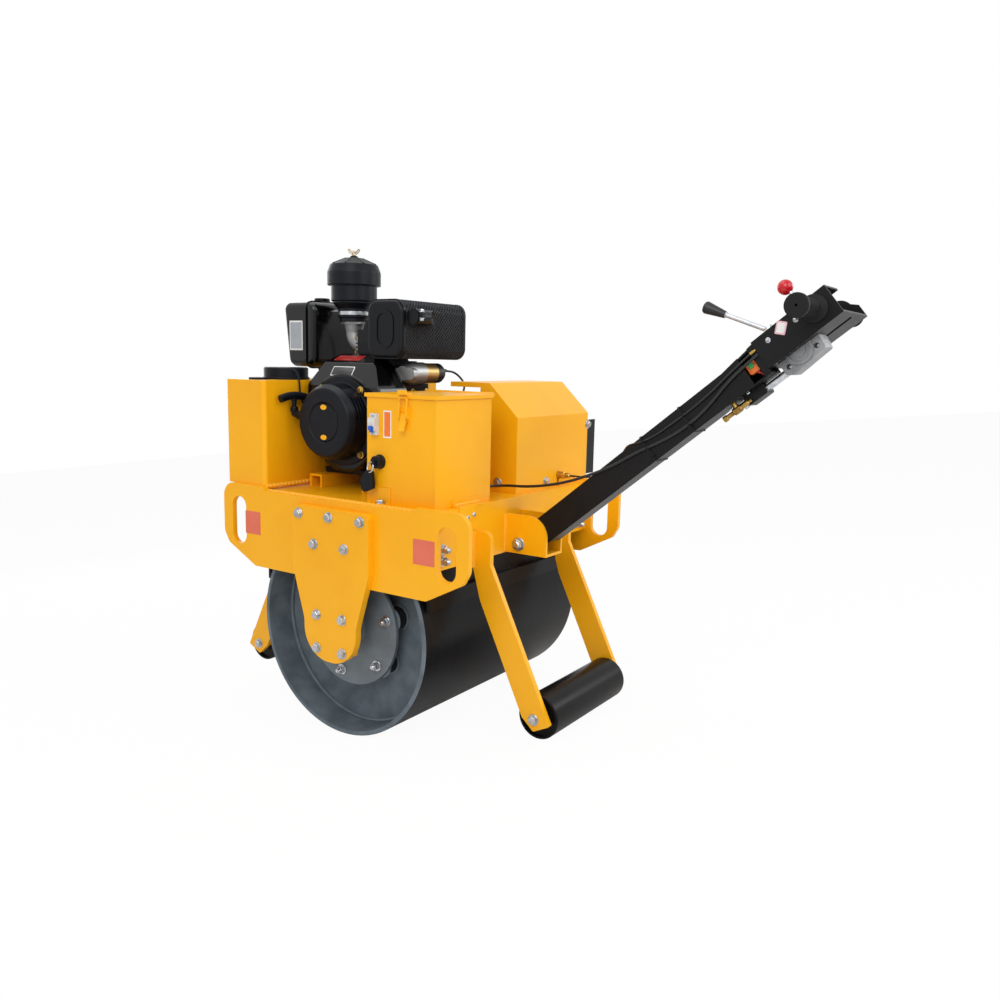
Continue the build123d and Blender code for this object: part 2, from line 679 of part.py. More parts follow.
def engine_base():
    rails = []
    rear_y = rail_front_y - rail_length
    for x in (crank_x - foot_spread / 2, crank_x + foot_spread / 2):
        rail = block(x - rail_width / 2, x + rail_width / 2, rear_y, rail_front_y, deck_top, rail_top)
        rail -= block(x - rail_width / 2 + rail_wall, x + rail_width / 2 - rail_wall, rear_y, rail_front_y,
                      deck_top, rail_top - rail_wall)
        rails.append(rail)
    save("engine_rails", *rails)

    half = foot_spread / 2 + foot_margin
    foot_y0, foot_y1 = case_back_y + 28, cylinder_y + cowl_back_y
    foot = rounded(crank_x - half, crank_x + half, foot_y0, foot_y1, rail_top, rail_top + foot_wall, 10)
    foot += rounded(crank_x - case_half, crank_x + case_half, case_back_y, foot_y1 - 30, rail_top, rail_top + foot_wall, 10)
    for sign in (-1, 1):
        x = crank_x + sign * foot_spread / 2
        for y in (foot_y0 + 22, foot_y1 - 22):
            foot -= flat(ring_of(x - 14, x + 14, y - 5, y + 5, 4.9), rail_top, rail_top + foot_wall)
    joint = crank_z + case_top
    case = rounded(crank_x - case_half, crank_x + case_half, case_back_y, cowl_back_y, rail_top + foot_wall, joint, 16)
    case += foot
    for sign in (-1, 1):
        for y in (case_back_y + 40, cowl_back_y - 30):
            near, far = crank_x + sign * (case_half - 2), crank_x + sign * (half - 6)
            rib = across([(near, rail_top + foot_wall - 1, 0), (far, rail_top + foot_wall - 1, 0),
                          (near, rail_top + foot_wall + 34, 0)], y, y + 6)
            case += rib
    case += turned([(0, 0, 0), (62, 0, 0), (62, 8, 2), (52, 12, 2), (46, 24, 6), (22, 26, 2), (22, 34, 2), (0, 34, 0)],
                   (crank_x, case_back_y, crank_z), (0, -1, 0))
    case += bar_y(crank_x, crank_z, guard_y + guard_wall, case_back_y - 30, 16)
    save("crankcase", case)


def cylinder():
    joint = crank_z + case_top
    head_low = crank_z + head_rise
    y0, y1 = cylinder_y - barrel_half, cylinder_y + barrel_half
    barrel = rounded(crank_x - barrel_half, crank_x + barrel_half, y0, y1, joint, head_low, 20)
    for index in range(fin_count):
        z = joint + 4 + fin_pitch * index
        barrel += rounded(crank_x - fin_half, crank_x + fin_half, y0 - 12, cowl_back_y - 4, z, z + fin_wall, 22)
    head_top = head_low + head_block_height
    head = rounded(crank_x - 36, crank_x + 50, y0 - 4, y1 - 2, head_low, head_top, 10)
    for index in range(4):
        z = head_low + 8 + fin_pitch * index
        head += rounded(crank_x - 40, crank_x + 56, y0 - 12, y1, z, z + fin_wall, 14)
    rocker = rounded(crank_x - 28, crank_x + 36, y0 + 4, y1 - 12, head_top, head_top + rocker_height, 12)
    head += fillet(rocker.faces().sort_by(Axis.Z)[-1].edges(), 5)
    port_z = muffler_low + 33
    head += rod((muffler_x + muffler_width / 2, cylinder_y - 18, port_z), (crank_x - 36, cylinder_y - 18, port_z), 20)
    save("cylinder", barrel + head)


def fan_cowl():
    """Pressed air guide: a ring round the fan that narrows to the cylinder head."""
    top = crank_z + cowl_rise
    shoulder = crank_z + cowl_rise / 2
    top_x = crank_x + cowl_shift
    cowl = across([(top_x - cowl_top_half, top, 14), (top_x + cowl_top_half, top, 14),
                   (crank_x + cowl_r - 2, shoulder, 30), (crank_x + cowl_r, crank_z - 40, 60),
                   (crank_x + 40, crank_z - cowl_r, 60), (crank_x - 40, crank_z - cowl_r, 60),
                   (crank_x - cowl_r, crank_z - 40, 60), (crank_x - cowl_r + 2, shoulder, 30),
                   (top_x - cowl_top_half - 44, top - 28, 30)], cowl_back_y, cowl_front_y)
    cowl = fillet(cowl.faces().sort_by(Axis.Y)[-1].edges(), 5)
    cowl -= along([(cowl_front_y + 1, shoulder + 1, 0), (cowl_front_y + 1, top + 1, 0), (cowl_back_y + 10, top + 1, 0),
                   (cowl_front_y - 35, top - 20, 6)], crank_x - cowl_r - 1, crank_x + cowl_r + 1)
    cowl -= across([(crank_x - cowl_r - 1, shoulder + 2, 0), (crank_x - cowl_r + 14, shoulder + 2, 4),
                    (top_x - cowl_top_half - 30, top - 32, 10), (top_x - cowl_top_half - 6, top + 1, 0),
                    (crank_x - cowl_r - 1, top + 1, 0)], cowl_back_y + 7, cowl_front_y - 56)
    cowl += turned([(recoil_flange_r - 8, 0, 0), (recoil_flange_r + 6, 0, 0), (recoil_flange_r + 6, 4, 2),
                    (recoil_flange_r - 8, 4, 0)], (crank_x, cowl_front_y - 5, crank_z), (0, 1, 0))
    save("fan_cowl", cowl)


def recoil_starter():
    """Hollow cover with groups of air slots, and the pull handle on its rope guide."""
    depth, wall = recoil_height, recoil_wall
    centre, out = (crank_x, cowl_front_y, crank_z), (0, 1, 0)
    cover = turned([
        (recoil_drum_r - 4, 0, 0), (recoil_flange_r, 0, 0), (recoil_flange_r, 4, 1), (recoil_drum_r, 5, 2),
        (recoil_drum_r - 3, depth - 14, 5), (recoil_face_r, depth, 7), (recess_r, depth, 2), (recess_r - 3, depth - 4, 1),
        (recess_r / 2 + 2, depth - 4, 0), (recess_r / 2, depth - 2, 1), (0, depth - 2, 0), (0, depth - 8, 0),
        (recoil_face_r - wall, depth - 8, 3), (recoil_drum_r - 3 - wall, depth - 16, 3), (recoil_drum_r - 4, 4, 0),
    ], centre, out)
    for first, sweep_angle in vent_groups:
        for index in range(vent_count):
            place = 9 + vent_pitch * index
            cutter = Plane.XZ * outline([(recoil_drum_r - 14, place, 0), (recoil_drum_r + 4, place, 0),
                                         (recoil_drum_r + 4, place + vent_width, 0), (recoil_drum_r - 14, place + vent_width, 0)])
            slot = revolve(cutter, Axis.Z, sweep_angle).rotate(Axis.Z, first)
            cover -= Plane(origin=centre, x_dir=(1, 0, 0), z_dir=out) * mirror(slot, about=Plane.XZ)
    guide_x, guide_y, guide_z = crank_x + 105, cowl_front_y + 45, crank_z + 16
    cover += rod((crank_x + recoil_drum_r - 8, guide_y, crank_z + 6), (guide_x, guide_y, guide_z), 9)
    cover += turned([(0, 0, 0), (9, 0, 3), (9, 10, 0), (7, 14, 2), (0, 14, 0)], (guide_x, guide_y, guide_z), (0, 0, 1))
    save("recoil_starter", cover)

    low, high = guide_z + 14 + seat_gap, guide_z + 33
    stem = turned([(0, 0, 0), (5, 0, 1), (6, high - low, 0), (0, high - low, 0)], (guide_x, guide_y, low), (0, 0, 1))
    half = 41
    arc = ThreePointArc((guide_x, guide_y - half, high - 2), (guide_x, guide_y, high + 5), (guide_x, guide_y + half, high - 2))
    grip = sweep(Plane(origin=arc @ 0, z_dir=arc % 0) * Ellipse(9, 7), path=arc)
    save("pull_handle", stem + grip)


def exhaust():
    near, far = muffler_near, muffler_near - muffler_length
    half, low, top = muffler_width / 2, muffler_low, muffler_top
    rows = ring_of(muffler_x - half, muffler_x + half, low, top, muffler_r)
    body = vessel(rows, far, near, 7, shell_wall)
    for y in (near - 12, far + 4):
        rim = across(ring_of(muffler_x - half - muffler_rim, muffler_x + half + muffler_rim, low - muffler_rim,
                             top + muffler_rim, muffler_r + muffler_rim), y, y + 6)
        rim -= across(ring_of(muffler_x - half, muffler_x + half, low, top, muffler_r), y, y + 6)
        body += rim
    bead = ring_of(muffler_x - 27, muffler_x + 27, low + 20, top - 20, 26)
    body += across(bead, near - 1, near + 2) - across(shrink(bead, 8), near - 1, near + 2)
    save("muffler", body)

    outlet_x, outlet_z = muffler_x - half - muffler_rim - outlet_r - 1, top - 36
    stop = outlet_y + outlet_length
    pipe = bar_y(outlet_x, outlet_z, outlet_y, stop, outlet_r)
    pipe -= bar_y(outlet_x, outlet_z, outlet_y - 1, stop - 12, outlet_r - shell_wall)
    pipe -= flat([(outlet_x - outlet_r - 1, outlet_y - 1, 0), (outlet_x + outlet_r - 5, outlet_y - 1, 0),
                  (outlet_x - outlet_r - 1, outlet_y + 46, 0)], outlet_z - outlet_r - 1, outlet_z + outlet_r + 1)
    pipe += rod((outlet_x - outlet_r / 2, stop - 30, outlet_z), (muffler_x - half, stop - 30, outlet_z), outlet_r - 4)
    clamp = turned([(outlet_r - 1, 0, 0), (outlet_r + 2, 0, 0), (outlet_r + 2, 10, 0), (outlet_r - 1, 10, 0)],
                   (outlet_x, stop - 12, outlet_z), (0, 1, 0))
    clamp += block(outlet_x - outlet_r - 9, outlet_x - outlet_r + 2, stop - 12, stop - 2, outlet_z - 2, outlet_z + 10)
    save("exhaust_outlet", pipe + clamp)


def intake():
    filter_body = turned([
        (0, 0, 0), (34, 0, 0), (34, 8, 0), (38, 10, 0), (38, 30, 2), (44, 36, 2), (50, 43, 0), (50, 46, 0), (54, 48, 2),
        (54, 84, 0), (63, 84, 1), (63, 114, 6), (57, 130, 2), (56, 132, 0), (20, 148, 8), (9, 149, 0), (9, 153, 2),
        (0, 153, 0),
    ], (filter_x, filter_y, filter_z), (0, 0, 1))
    for index in range(8):
        rib = turned([(0, 0, 0), (2.5, 0, 0), (1.8, 36, 0), (0, 36, 0)], (0, 0, 0), (-math.cos(0.42), 0, math.sin(0.42)))
        filter_body += Pos(filter_x, filter_y, filter_z) * (Rot(0, 0, 22.5 + 45 * index) * (Pos(54, 0, 132) * rib))
    save("air_filter", filter_body)

    elbow_z = muffler_low + 28
    reach = crank_x + 56
    flange_z = filter_z - 5
    path = FilletPolyline((filter_x, filter_y, flange_z), (filter_x, filter_y, elbow_z), (reach, filter_y, elbow_z),
                          radius=elbow_bend)
    elbow = sweep(Plane(origin=(filter_x, filter_y, flange_z), z_dir=(0, 0, -1)) * Circle(elbow_r), path=path)
    elbow += turned([(0, 0, 0), (elbow_r, 0, 0), (24, 20, 0), (24, 24, 0), (0, 24, 0)], (filter_x, filter_y, filter_z - 24),
                    (0, 0, 1))
    flange = [(filter_x - 33, filter_y - 12, 8), (filter_x, filter_y - 31, 20), (filter_x + 33, filter_y - 12, 8),
              (filter_x + 33, filter_y + 12, 8), (filter_x, filter_y + 31, 20), (filter_x - 33, filter_y + 12, 8)]
    elbow += flat(flange, flange_z, filter_z)
    elbow += along(ring_of(filter_y - 30, filter_y + 24, elbow_z - 24, elbow_z + 24, 8), reach, reach + 7)
    save("intake_elbow", elbow)


def fuel_system():
    near, far = fuel_near, fuel_near - fuel_length
    seam = fuel_seam_x
    rows = [(seam - fuel_rear + 2, fuel_low, fuel_r - 4), (seam + fuel_front - fuel_taper, fuel_low, fuel_r),
            (seam + fuel_front, fuel_top, fuel_r - 6), (seam - fuel_rear, fuel_top, fuel_r - 4)]
    tank = vessel(rows, far, near, fuel_edge, shell_wall)
    lip = along(ring_of(far - seam_lip, near + seam_lip, fuel_low - seam_lip, fuel_top + seam_lip, fuel_r), seam - 2, seam + 2)
    lip -= block(seam - 3, seam + 3, far + 6, near - 6, fuel_low + 6, fuel_top - 6)
    save("fuel_tank", tank + lip)
    filler_y = near - 80
    cap = turned([(0, 0, 0), (15, 0, 0), (15, 5, 0), (19, 5, 1), (19, 13, 3), (0, 13, 0)], (seam + 27, filler_y, fuel_top),
                 (0, 0, 1))
    save("fuel_cap", cap)

    strap_z = fuel_low - seam_lip
    joint = crank_z + case_top
    strap = across([(crank_x + 48, joint, 0), (crank_x + 74, joint, 10), (seam - 42, strap_z - 4, 10),
                    (seam + 20, strap_z - 4, 0), (seam + 20, strap_z, 0), (seam - 43, strap_z, 10),
                    (crank_x + 72, joint + 4, 10), (crank_x + 48, joint + 4, 0)], filter_y - 26, filter_y + 8)
    save("tank_strap", strap)


def starter_and_belt():
    near = cowl_back_y
    body = turned([
        (0, 0, 0), (18, 0, 3), (20, 6, 0), (starter_r - 2, 10, 0), (starter_r - 2, 66, 0), (starter_r, 66, 1),
        (starter_r, 112, 8), (starter_r - 8, near - starter_rear_y, 4), (0, near - starter_rear_y, 0),
    ], (starter_x, starter_rear_y, starter_z), (0, 1, 0))
    body += across(ring_of(starter_x - 33, starter_x + 22, starter_z - 14, starter_z + 12, 10), near - 14, near)
    body += rod((starter_x - 10, starter_rear_y + 1, starter_z + 6), (starter_x - 10, starter_rear_y - 10, starter_z + 6), 4)
    lead = cable([(starter_x - 10, starter_rear_y - 9, starter_z + 6), (-11, -85, starter_z + 2), (-26, -104, starter_z - 23),
                  (-36, -82, starter_z - 51), (-37, -40, starter_z - 67), (-33, 4, starter_z - 77), (-37, 46, starter_z - 93),
                  (-35, 74, starter_z - 127), (-37, 82, starter_z - 171), (-35, 80, starter_z - 215), (-36, 82, deck_top + 1)], 2.5)
    save("starter_motor", body + lead)

    pump_z = deck_top + pump_rise
    guard = across([(crank_x + guard_r, crank_z - guard_r, 60), (crank_x + guard_r, crank_z + guard_r, 60),
                    (pump_x - 42, pump_z + 42, 34), (pump_x - 42, pump_z - 42, 34)], guard_y, guard_y + guard_wall)
    save("belt_guard", fillet(guard.faces().sort_by(Axis.Y)[-1].edges(), 3))


# ---------------------------------------------------------------- handle
def arm_point(u, v, y):
    """Point at u along the arm from its pivot, v above that line."""
    rise = math.radians(arm_rise)
    return (pivot_x - u * math.cos(rise) + v * math.sin(rise), y, pivot_z + u * math.sin(rise) + v * math.cos(rise))


def arm_plate(rows, y0, y1):
    """Plate between y0 and y1 from rows (u, v, corner radius)."""
    turned_rows = []
    for u, v, radius in rows:
        x, _, z = arm_point(u, v, 0)
        turned_rows.append((x, z, radius))
    return across(turned_rows, y0, y1)


def arm_box(u0, u1, v0, v1, y0, y1, radius=0):
    return arm_plate(ring_of(u0, u1, v0, v1, radius), y0, y1)


def handle():
    near, far = bracket_y + bracket_width / 2, bracket_y - bracket_width / 2
    rear = -end_plate_x - bracket_reach
    high = bracket_low + bracket_height
    ear = [(-end_plate_x, bracket_low, 0), (-end_plate_x, high, 0), (rear, high, bracket_r), (rear, bracket_low, 0)]
    bracket = across(ear, near - bracket_wall, near) + across(ear, far, far + bracket_wall)
    bracket += block(rear, -end_plate_x, far + bracket_wall, near - bracket_wall, bracket_low, bracket_low + bracket_wall)
    bracket -= bar_y(pivot_x, pivot_z, far, near, pivot_r)
    save("handle_bracket", bracket)
    pin_end = pin_length - bracket_width
    save("handle_pivot", bar_y(pivot_x, pivot_z, far - pin_end / 2, near + pin_end / 2, pivot_r))

    inside = bracket_width - 2 * bracket_wall
    arm_near, arm_far = bracket_y + inside / 2 - arm_gap, bracket_y - inside / 2 + arm_gap
    end_high = arm_high + arm_flare
    tube = arm_plate([(arm_start, arm_low, 0), (arm_start, arm_high, 0), (gusset_start, arm_high, 0),
                      (arm_end, end_high, 0), (arm_end, arm_low, 0)], arm_far, arm_near)
    tube -= arm_plate([(arm_start + arm_wall, arm_low + arm_wall, 0), (arm_start + arm_wall, arm_high - arm_wall, 0),
                       (gusset_start, arm_high - arm_wall, 0), (arm_end + 1, end_high - arm_wall, 0),
                       (arm_end + 1, arm_low + arm_wall, 0)], arm_far + arm_wall, arm_near - arm_wall)
    tube -= arm_box(window_start, window_start + window_length, arm_low - 1, end_high + 1, arm_near - arm_wall - 1,
                    arm_near + 1)
    sleeve_r = pivot_r + sleeve_wall
    lug = arm_box(0, arm_start + arm_wall, 2 - sleeve_r, sleeve_r - 2, arm_far, arm_near)
    lug += bar_y(pivot_x, pivot_z, arm_far, arm_near, sleeve_r)
    lug -= bar_y(pivot_x, pivot_z, arm_far, arm_near, pivot_r + run_fit)
    arm = tube + lug

    rod_v = arm_low - rod_drop
    clamp = arm_box(clamp_start, clamp_start + clamp_length, arm_low - clamp_depth, arm_low, -19, 20, 4)
    rods = []
    for y, start, radius in ((9, rod_start, rod_r), (-8, rod_start + 12, rod_r - 1)):
        bar = rod(arm_point(start, rod_v, y), arm_point(arm_end + 12 - seat_gap, rod_v, y), radius)
        clamp -= bar
        bar += rod(arm_point(start, rod_v, y), arm_point(start + 9, rod_v, y), radius + 2)
        rods.append(bar)
    save("handle_arm", arm, clamp)
    save("control_rods", *rods)

    uphill = tuple(Vector(*arm_point(1, 0, 0)) - Vector(*arm_point(0, 0, 0)))
    cock_v = arm_low - 14
    cock = turned([(0, 0, 0), (6, 0, 1), (6, 8, 0), (4.5, 9, 0), (4.5, 22, 1), (7, 24, 1), (7, 40, 1), (5, 42, 0),
                   (5, 56, 1), (3, 58, 0), (3, 64, 0), (0, 64, 0)], arm_point(cock_start, cock_v, cock_y), uphill)
    cock += rod(arm_point(cock_start + 32, arm_low, cock_y), arm_point(cock_start + 32, cock_v, cock_y), 5)
    save("drain_cock", cock)


def handle_head():
    near, far, stop = head_near, head_far, head_end
    start = arm_end
    head = arm_box(start, stop, head_low, head_high, far, near)
    head -= arm_box(start + head_wall, stop + 1, head_low + head_wall, head_high - head_wall, far + head_wall,
                    near - head_wall)
    head -= arm_box(stop - head_cut, stop + 1, head_high - head_wall - 1, head_high + 1, far - 1, -40)
    head -= arm_plate([(stop - head_cut, head_high + 1, 0), (stop + 1, head_high + 1, 0), (stop + 1, head_high - head_cut, 0)],
                      far - 1, far + head_wall + 1)
    head -= arm_box(stop - 65, stop - 10, head_low - 1, head_low + head_wall + 1, -48, -32)
    save("handle_head", head)

    x, _, z = arm_point(grip_u, grip_v, 0)
    for side, face, sign in (("left", near, 1), ("right", far, -1)):
        grip = turned([(0, 0, 0), (grip_r + 8, 0, 1), (grip_r + 8, 5, 2), (grip_r - 1, 9, 3), (grip_r - 1, grip_length - 14, 2),
                       (grip_r + 4, grip_length - 9, 2), (grip_r + 4, grip_length, 2), (2.5, grip_length, 0),
                       (2.5, grip_length - 8, 0), (0, grip_length - 8, 0)], (x, face, z), (0, sign, 0))
        save(f"grip_{side}", grip)

    valve = arm_plate([(664, -52, 6), (664, head_low, 0), (750, head_low, 0), (747, -54, 5), (674, -58, 5)], -30, 20)
    for u, v in ((676, -42), (736, -41)):
        valve -= rod(arm_point(u, v, 8), arm_point(u, v, 21), 5)
    rings = rod(arm_point(707, head_low - 1, 20), arm_point(707, head_low - 1, 24), 26)
    rings -= rod(arm_point(707, head_low - 1, 22), arm_point(707, head_low - 1, 25), 21)
    rings += rod(arm_point(707, head_low - 1, 20), arm_point(707, head_low - 1, 24), 13)
    valve += rings - arm_box(670, 744, head_low, head_low + 40, 19, 26)
    save("valve_housing", valve)

    lever_y = 10
    tip, knob = arm_point(635.5, 112, lever_y), arm_point(613, 150, lever_y)
    lever = rod(arm_point(684, head_high + 3, lever_y), tip, 4.5)
    lever += turned([(0, 0, 0), (13, 0, 0), (13, 4, 1), (9, 8, 3), (9, 12, 1), (0, 12, 0)], arm_point(684, head_high, lever_y),
                    tuple(Vector(*arm_point(0, 1, 0)) - Vector(*arm_point(0, 0, 0))))
    shaft = Vector(*knob) - Vector(*tip)
    cone = turned([(0, -2, 0), (6.5, -2, 1), (12, shaft.length - 4, 5), (10, shaft.length, 3), (0, shaft.length, 0)],
                  tip, tuple(shaft))
    save("speed_lever", lever + cone)

    ball = arm_point(750, 80, lever_y)
    stem = rod(arm_point(757, head_high + 2, lever_y), ball, 4)
    stem += turned([(0, 0, 0), (10, 0, 0), (10, 5, 1), (0, 5, 0)], arm_point(757, head_high, lever_y),
                   tuple(Vector(*arm_point(0, 1, 0)) - Vector(*arm_point(0, 0, 0))))
    save("throttle_lever", stem + Pos(*ball) * Sphere(ball_r))


def cables():
    """The loom from the control box and the thin control cable from the hood, both up to the handle's head."""
    arm_near = bracket_y + bracket_width / 2 - bracket_wall - arm_gap
    beside = arm_near + cable_r + 1
    loom = [(box_rear + 40, box_inner - 9, deck_top + 22), (box_rear + 36, 50, deck_top + 22), (box_rear + 17, 33, deck_top + 24),
            (box_rear - 17, 30, deck_top + 27), (-294, 42, deck_top + 30), (-345, beside - 1, deck_top + 37),
            (-402, beside + 1, deck_top + 50)]
    loom += [arm_point(u, v, beside + offset) for u, v, offset in (
        (238, 22, 0), (290, 8, 1), (348, 1, 0), (400, -12, 1), (450, -19, 0), (500, -18, 1), (540, -10, 0), (572, -2, 1),
        (606, 3, 0), (arm_end - seat_gap, 6, -0.5))]
    entry_y, entry_z = hood_inner - 187, deck_top + 27
    thin = [(hood_rear - 15, entry_y, entry_z), (hood_rear - 55, entry_y + 3, entry_z + 1), (hood_rear - 97, entry_y + 24, entry_z + 4),
            (-372, entry_y + 61, entry_z + 15), (-412, entry_y + 111, entry_z + 32), (-450, entry_y + 153, entry_z + 53)]
    thin += [arm_point(u, v, y) for u, v, y in (
        (280, 27, -24), (310, 28, 6), (338, 25, 36), (364, 12, beside + 1), (400, 4, beside - 1), (440, 2, beside + 1),
        (490, 1, beside - 1), (540, 3, beside + 1), (590, 10, beside), (640, 15, beside - 1))]
    thin_r = cable_r - 1
    ends = rod((hood_rear + 6, entry_y, entry_z), (hood_rear - 18, entry_y, entry_z), entry_r - seat_gap)
    ends += rod(thin[-1], arm_point(arm_end - seat_gap, 15, beside - 1), cable_r)
    save("handle_cables", cable(loom, cable_r), cable(thin, thin_r) + ends)


drum()
frame()
support_rollers()
scrapers()
control_box()
hood()
front_tank()
engine()
handle()
handle_head()
cables()
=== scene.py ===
import math

import bpy
from bpy.props import FloatProperty, FloatVectorProperty, IntProperty, PointerProperty
from mathutils import Matrix, Vector


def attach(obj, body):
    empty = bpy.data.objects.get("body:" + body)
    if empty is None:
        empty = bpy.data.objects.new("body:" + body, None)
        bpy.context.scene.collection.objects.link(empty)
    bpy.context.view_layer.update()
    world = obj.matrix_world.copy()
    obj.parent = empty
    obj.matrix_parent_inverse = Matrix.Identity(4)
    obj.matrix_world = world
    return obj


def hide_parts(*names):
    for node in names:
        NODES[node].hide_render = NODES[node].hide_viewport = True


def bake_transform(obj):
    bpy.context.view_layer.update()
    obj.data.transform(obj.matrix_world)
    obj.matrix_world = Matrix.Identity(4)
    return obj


bl_info = {
    "name": "Walk-behind road roller dressing",
    "version": (1, 0, 0),
    "blender": (4, 5, 0),
    "location": "3D View > Sidebar > Roller",
    "description": "Adds fasteners, welds, plates, cables and finishes to a walk-behind vibratory road roller",
    "category": "Object",
}

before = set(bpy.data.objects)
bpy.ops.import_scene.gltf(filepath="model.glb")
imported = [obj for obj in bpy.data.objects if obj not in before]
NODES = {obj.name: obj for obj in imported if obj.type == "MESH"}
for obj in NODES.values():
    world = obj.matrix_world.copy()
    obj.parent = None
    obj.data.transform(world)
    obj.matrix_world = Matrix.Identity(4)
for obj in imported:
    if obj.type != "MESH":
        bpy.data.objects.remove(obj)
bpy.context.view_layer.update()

# The pieces are laid out with the machine's deck level, in millimetres, and turned to its stance,
# in which it rests on its drum and its rear support roller.
MM = 0.001
LEAN = math.radians(5.946342)
DRUM_R = 235.0
STANCE = (Matrix.Translation((0, 0, DRUM_R * MM)) @ Matrix.Rotation(-LEAN, 4, "Y")
          @ Matrix.Translation((0, 0, -DRUM_R * MM)))
ARM_RISE = math.radians(39.2)
PIVOT = (-290.0, 422.0)                             # handle's pivot, along and up
CRANK = (98.0, 674.0)                               # crankshaft, along and up
END_PLATE = 254.0                                   # drum's axle to the outer face of an end plate
PLATE_INNER, PLATE_OUTER = 306.0, 318.0             # faces of a side plate, from the middle of the machine
HANGER_FACE, LEG_FACE, DISC_FACE = 334.0, 168.0, 270.0
HEAD_NEAR, HEAD_FAR = 47.0, -131.0                  # faces of the handle's head
LEFT, RIGHT = Vector((0, 1, 0)), Vector((0, -1, 0))
FORE, AFT = Vector((1, 0, 0)), Vector((-1, 0, 0))
UP, DOWN = Vector((0, 0, 1)), Vector((0, 0, -1))
ARM_OUT = Vector((-math.cos(ARM_RISE), 0, math.sin(ARM_RISE)))      # along the arm, away from the pivot
ARM_UP = Vector((math.sin(ARM_RISE), 0, math.cos(ARM_RISE)))
COS_30 = math.cos(math.radians(30))


def arm(u, v, y):
    """Point at u along the handle's arm from its pivot, v above that line, in mm of the level frame."""
    spot = ARM_OUT * u + ARM_UP * v
    return (PIVOT[0] + spot.x, y, PIVOT[1] + spot.z)


def polar(radius, degrees):
    """Point at an angle on a circle, as two numbers."""
    angle = math.radians(degrees)
    return radius * math.cos(angle), radius * math.sin(angle)


# ---------------------------------------------------------------- colours and finishes
def linear(hex_colour):
    """Linear RGBA of an sRGB hex colour."""
    parts = [int(hex_colour[i:i + 2], 16) / 255 for i in (1, 3, 5)]
    return [c / 12.92 if c <= 0.04045 else ((c + 0.055) / 1.055) ** 2.4 for c in parts] + [1.0]


def node(tree, kind, settings=(), links=()):
    """Adds a shader node with its settings, attribute or socket by name, and its incoming links."""
    made = tree.nodes.new("ShaderNode" + kind)
    for name, value in dict(settings).items():
        if isinstance(name, str) and hasattr(made, name):
            setattr(made, name, value)
        else:
            made.inputs[name].default_value = value
    for name, source in dict(links).items():
        tree.links.new(source, made.inputs[name])
    return made


def blank(name):
    """New material with an output and object coordinates."""
    material = bpy.data.materials.new(name)
    material.use_nodes = True
    tree = material.node_tree
    tree.nodes.clear()
    out = node(tree, "OutputMaterial")
    place = node(tree, "TexCoord").outputs["Object"]
    return material, tree, out, place


def ramp(tree, source, stops):
    """Colour ramp from (position, colour) stops."""
    made = node(tree, "ValToRGB", links={"Fac": source})
    band = made.color_ramp
    while len(band.elements) < len(stops):
        band.elements.new(0.5)
    for element, (position, colour) in zip(band.elements, stops):
        element.position = position
        element.color = colour
    return made.outputs["Color"]


def grey(value):
    return (value, value, value, 1.0)


def noise(tree, place, scale, detail=2.0, roughness=0.5):
    """Value of a fractal noise, its scale per metre."""
    return node(tree, "TexNoise", {"Scale": scale, "Detail": detail, "Roughness": roughness},
                {"Vector": place}).outputs["Fac"]


def spread(tree, value, low, high):
    """A value from 0 to 1, spread from low to high."""
    return node(tree, "MapRange", {"To Min": low, "To Max": high}, {"Value": value}).outputs["Result"]


def surface(tree, out, height, strength, depth, settings, links):
    """Principled shader on the output, with a height as bump of a depth in metres. Returns the bump."""
    bump = node(tree, "Bump", {"Strength": strength, "Distance": depth}, {"Height": height})
    shader = node(tree, "BsdfPrincipled", settings, {**links, "Normal": bump.outputs["Normal"]})
    tree.links.new(shader.outputs["BSDF"], out.inputs["Surface"])
    return bump


def coated(name, colour, shade, rough, grain_mm, grain_depth, rough_spread=0.06, metal=0.0, coat=0.0,
           blotch_mm=60.0, edge=0.0, specular=0.5):
    """Opaque finish: a body colour with slow drift towards a shade, fine grain in height and gloss."""
    material, tree, out, place = blank(name)
    drift = noise(tree, place, 1 / (blotch_mm * MM), 3.0, 0.55)
    body = ramp(tree, drift, [(0.32, linear(shade)), (0.62, linear(colour))])
    gloss = spread(tree, drift, rough - rough_spread, rough + rough_spread)
    bump = surface(tree, out, noise(tree, place, 1 / (grain_mm * MM)), 0.6, grain_depth * MM,
                   {"Metallic": metal, "Coat Weight": coat, "Coat Roughness": 0.08, "Specular IOR Level": specular},
                   {"Base Color": body, "Roughness": gloss})
    if edge:
        soft = node(tree, "Bevel", {"samples": 4, "Radius": edge * MM})
        tree.links.new(soft.outputs["Normal"], bump.inputs["Normal"])
    return material


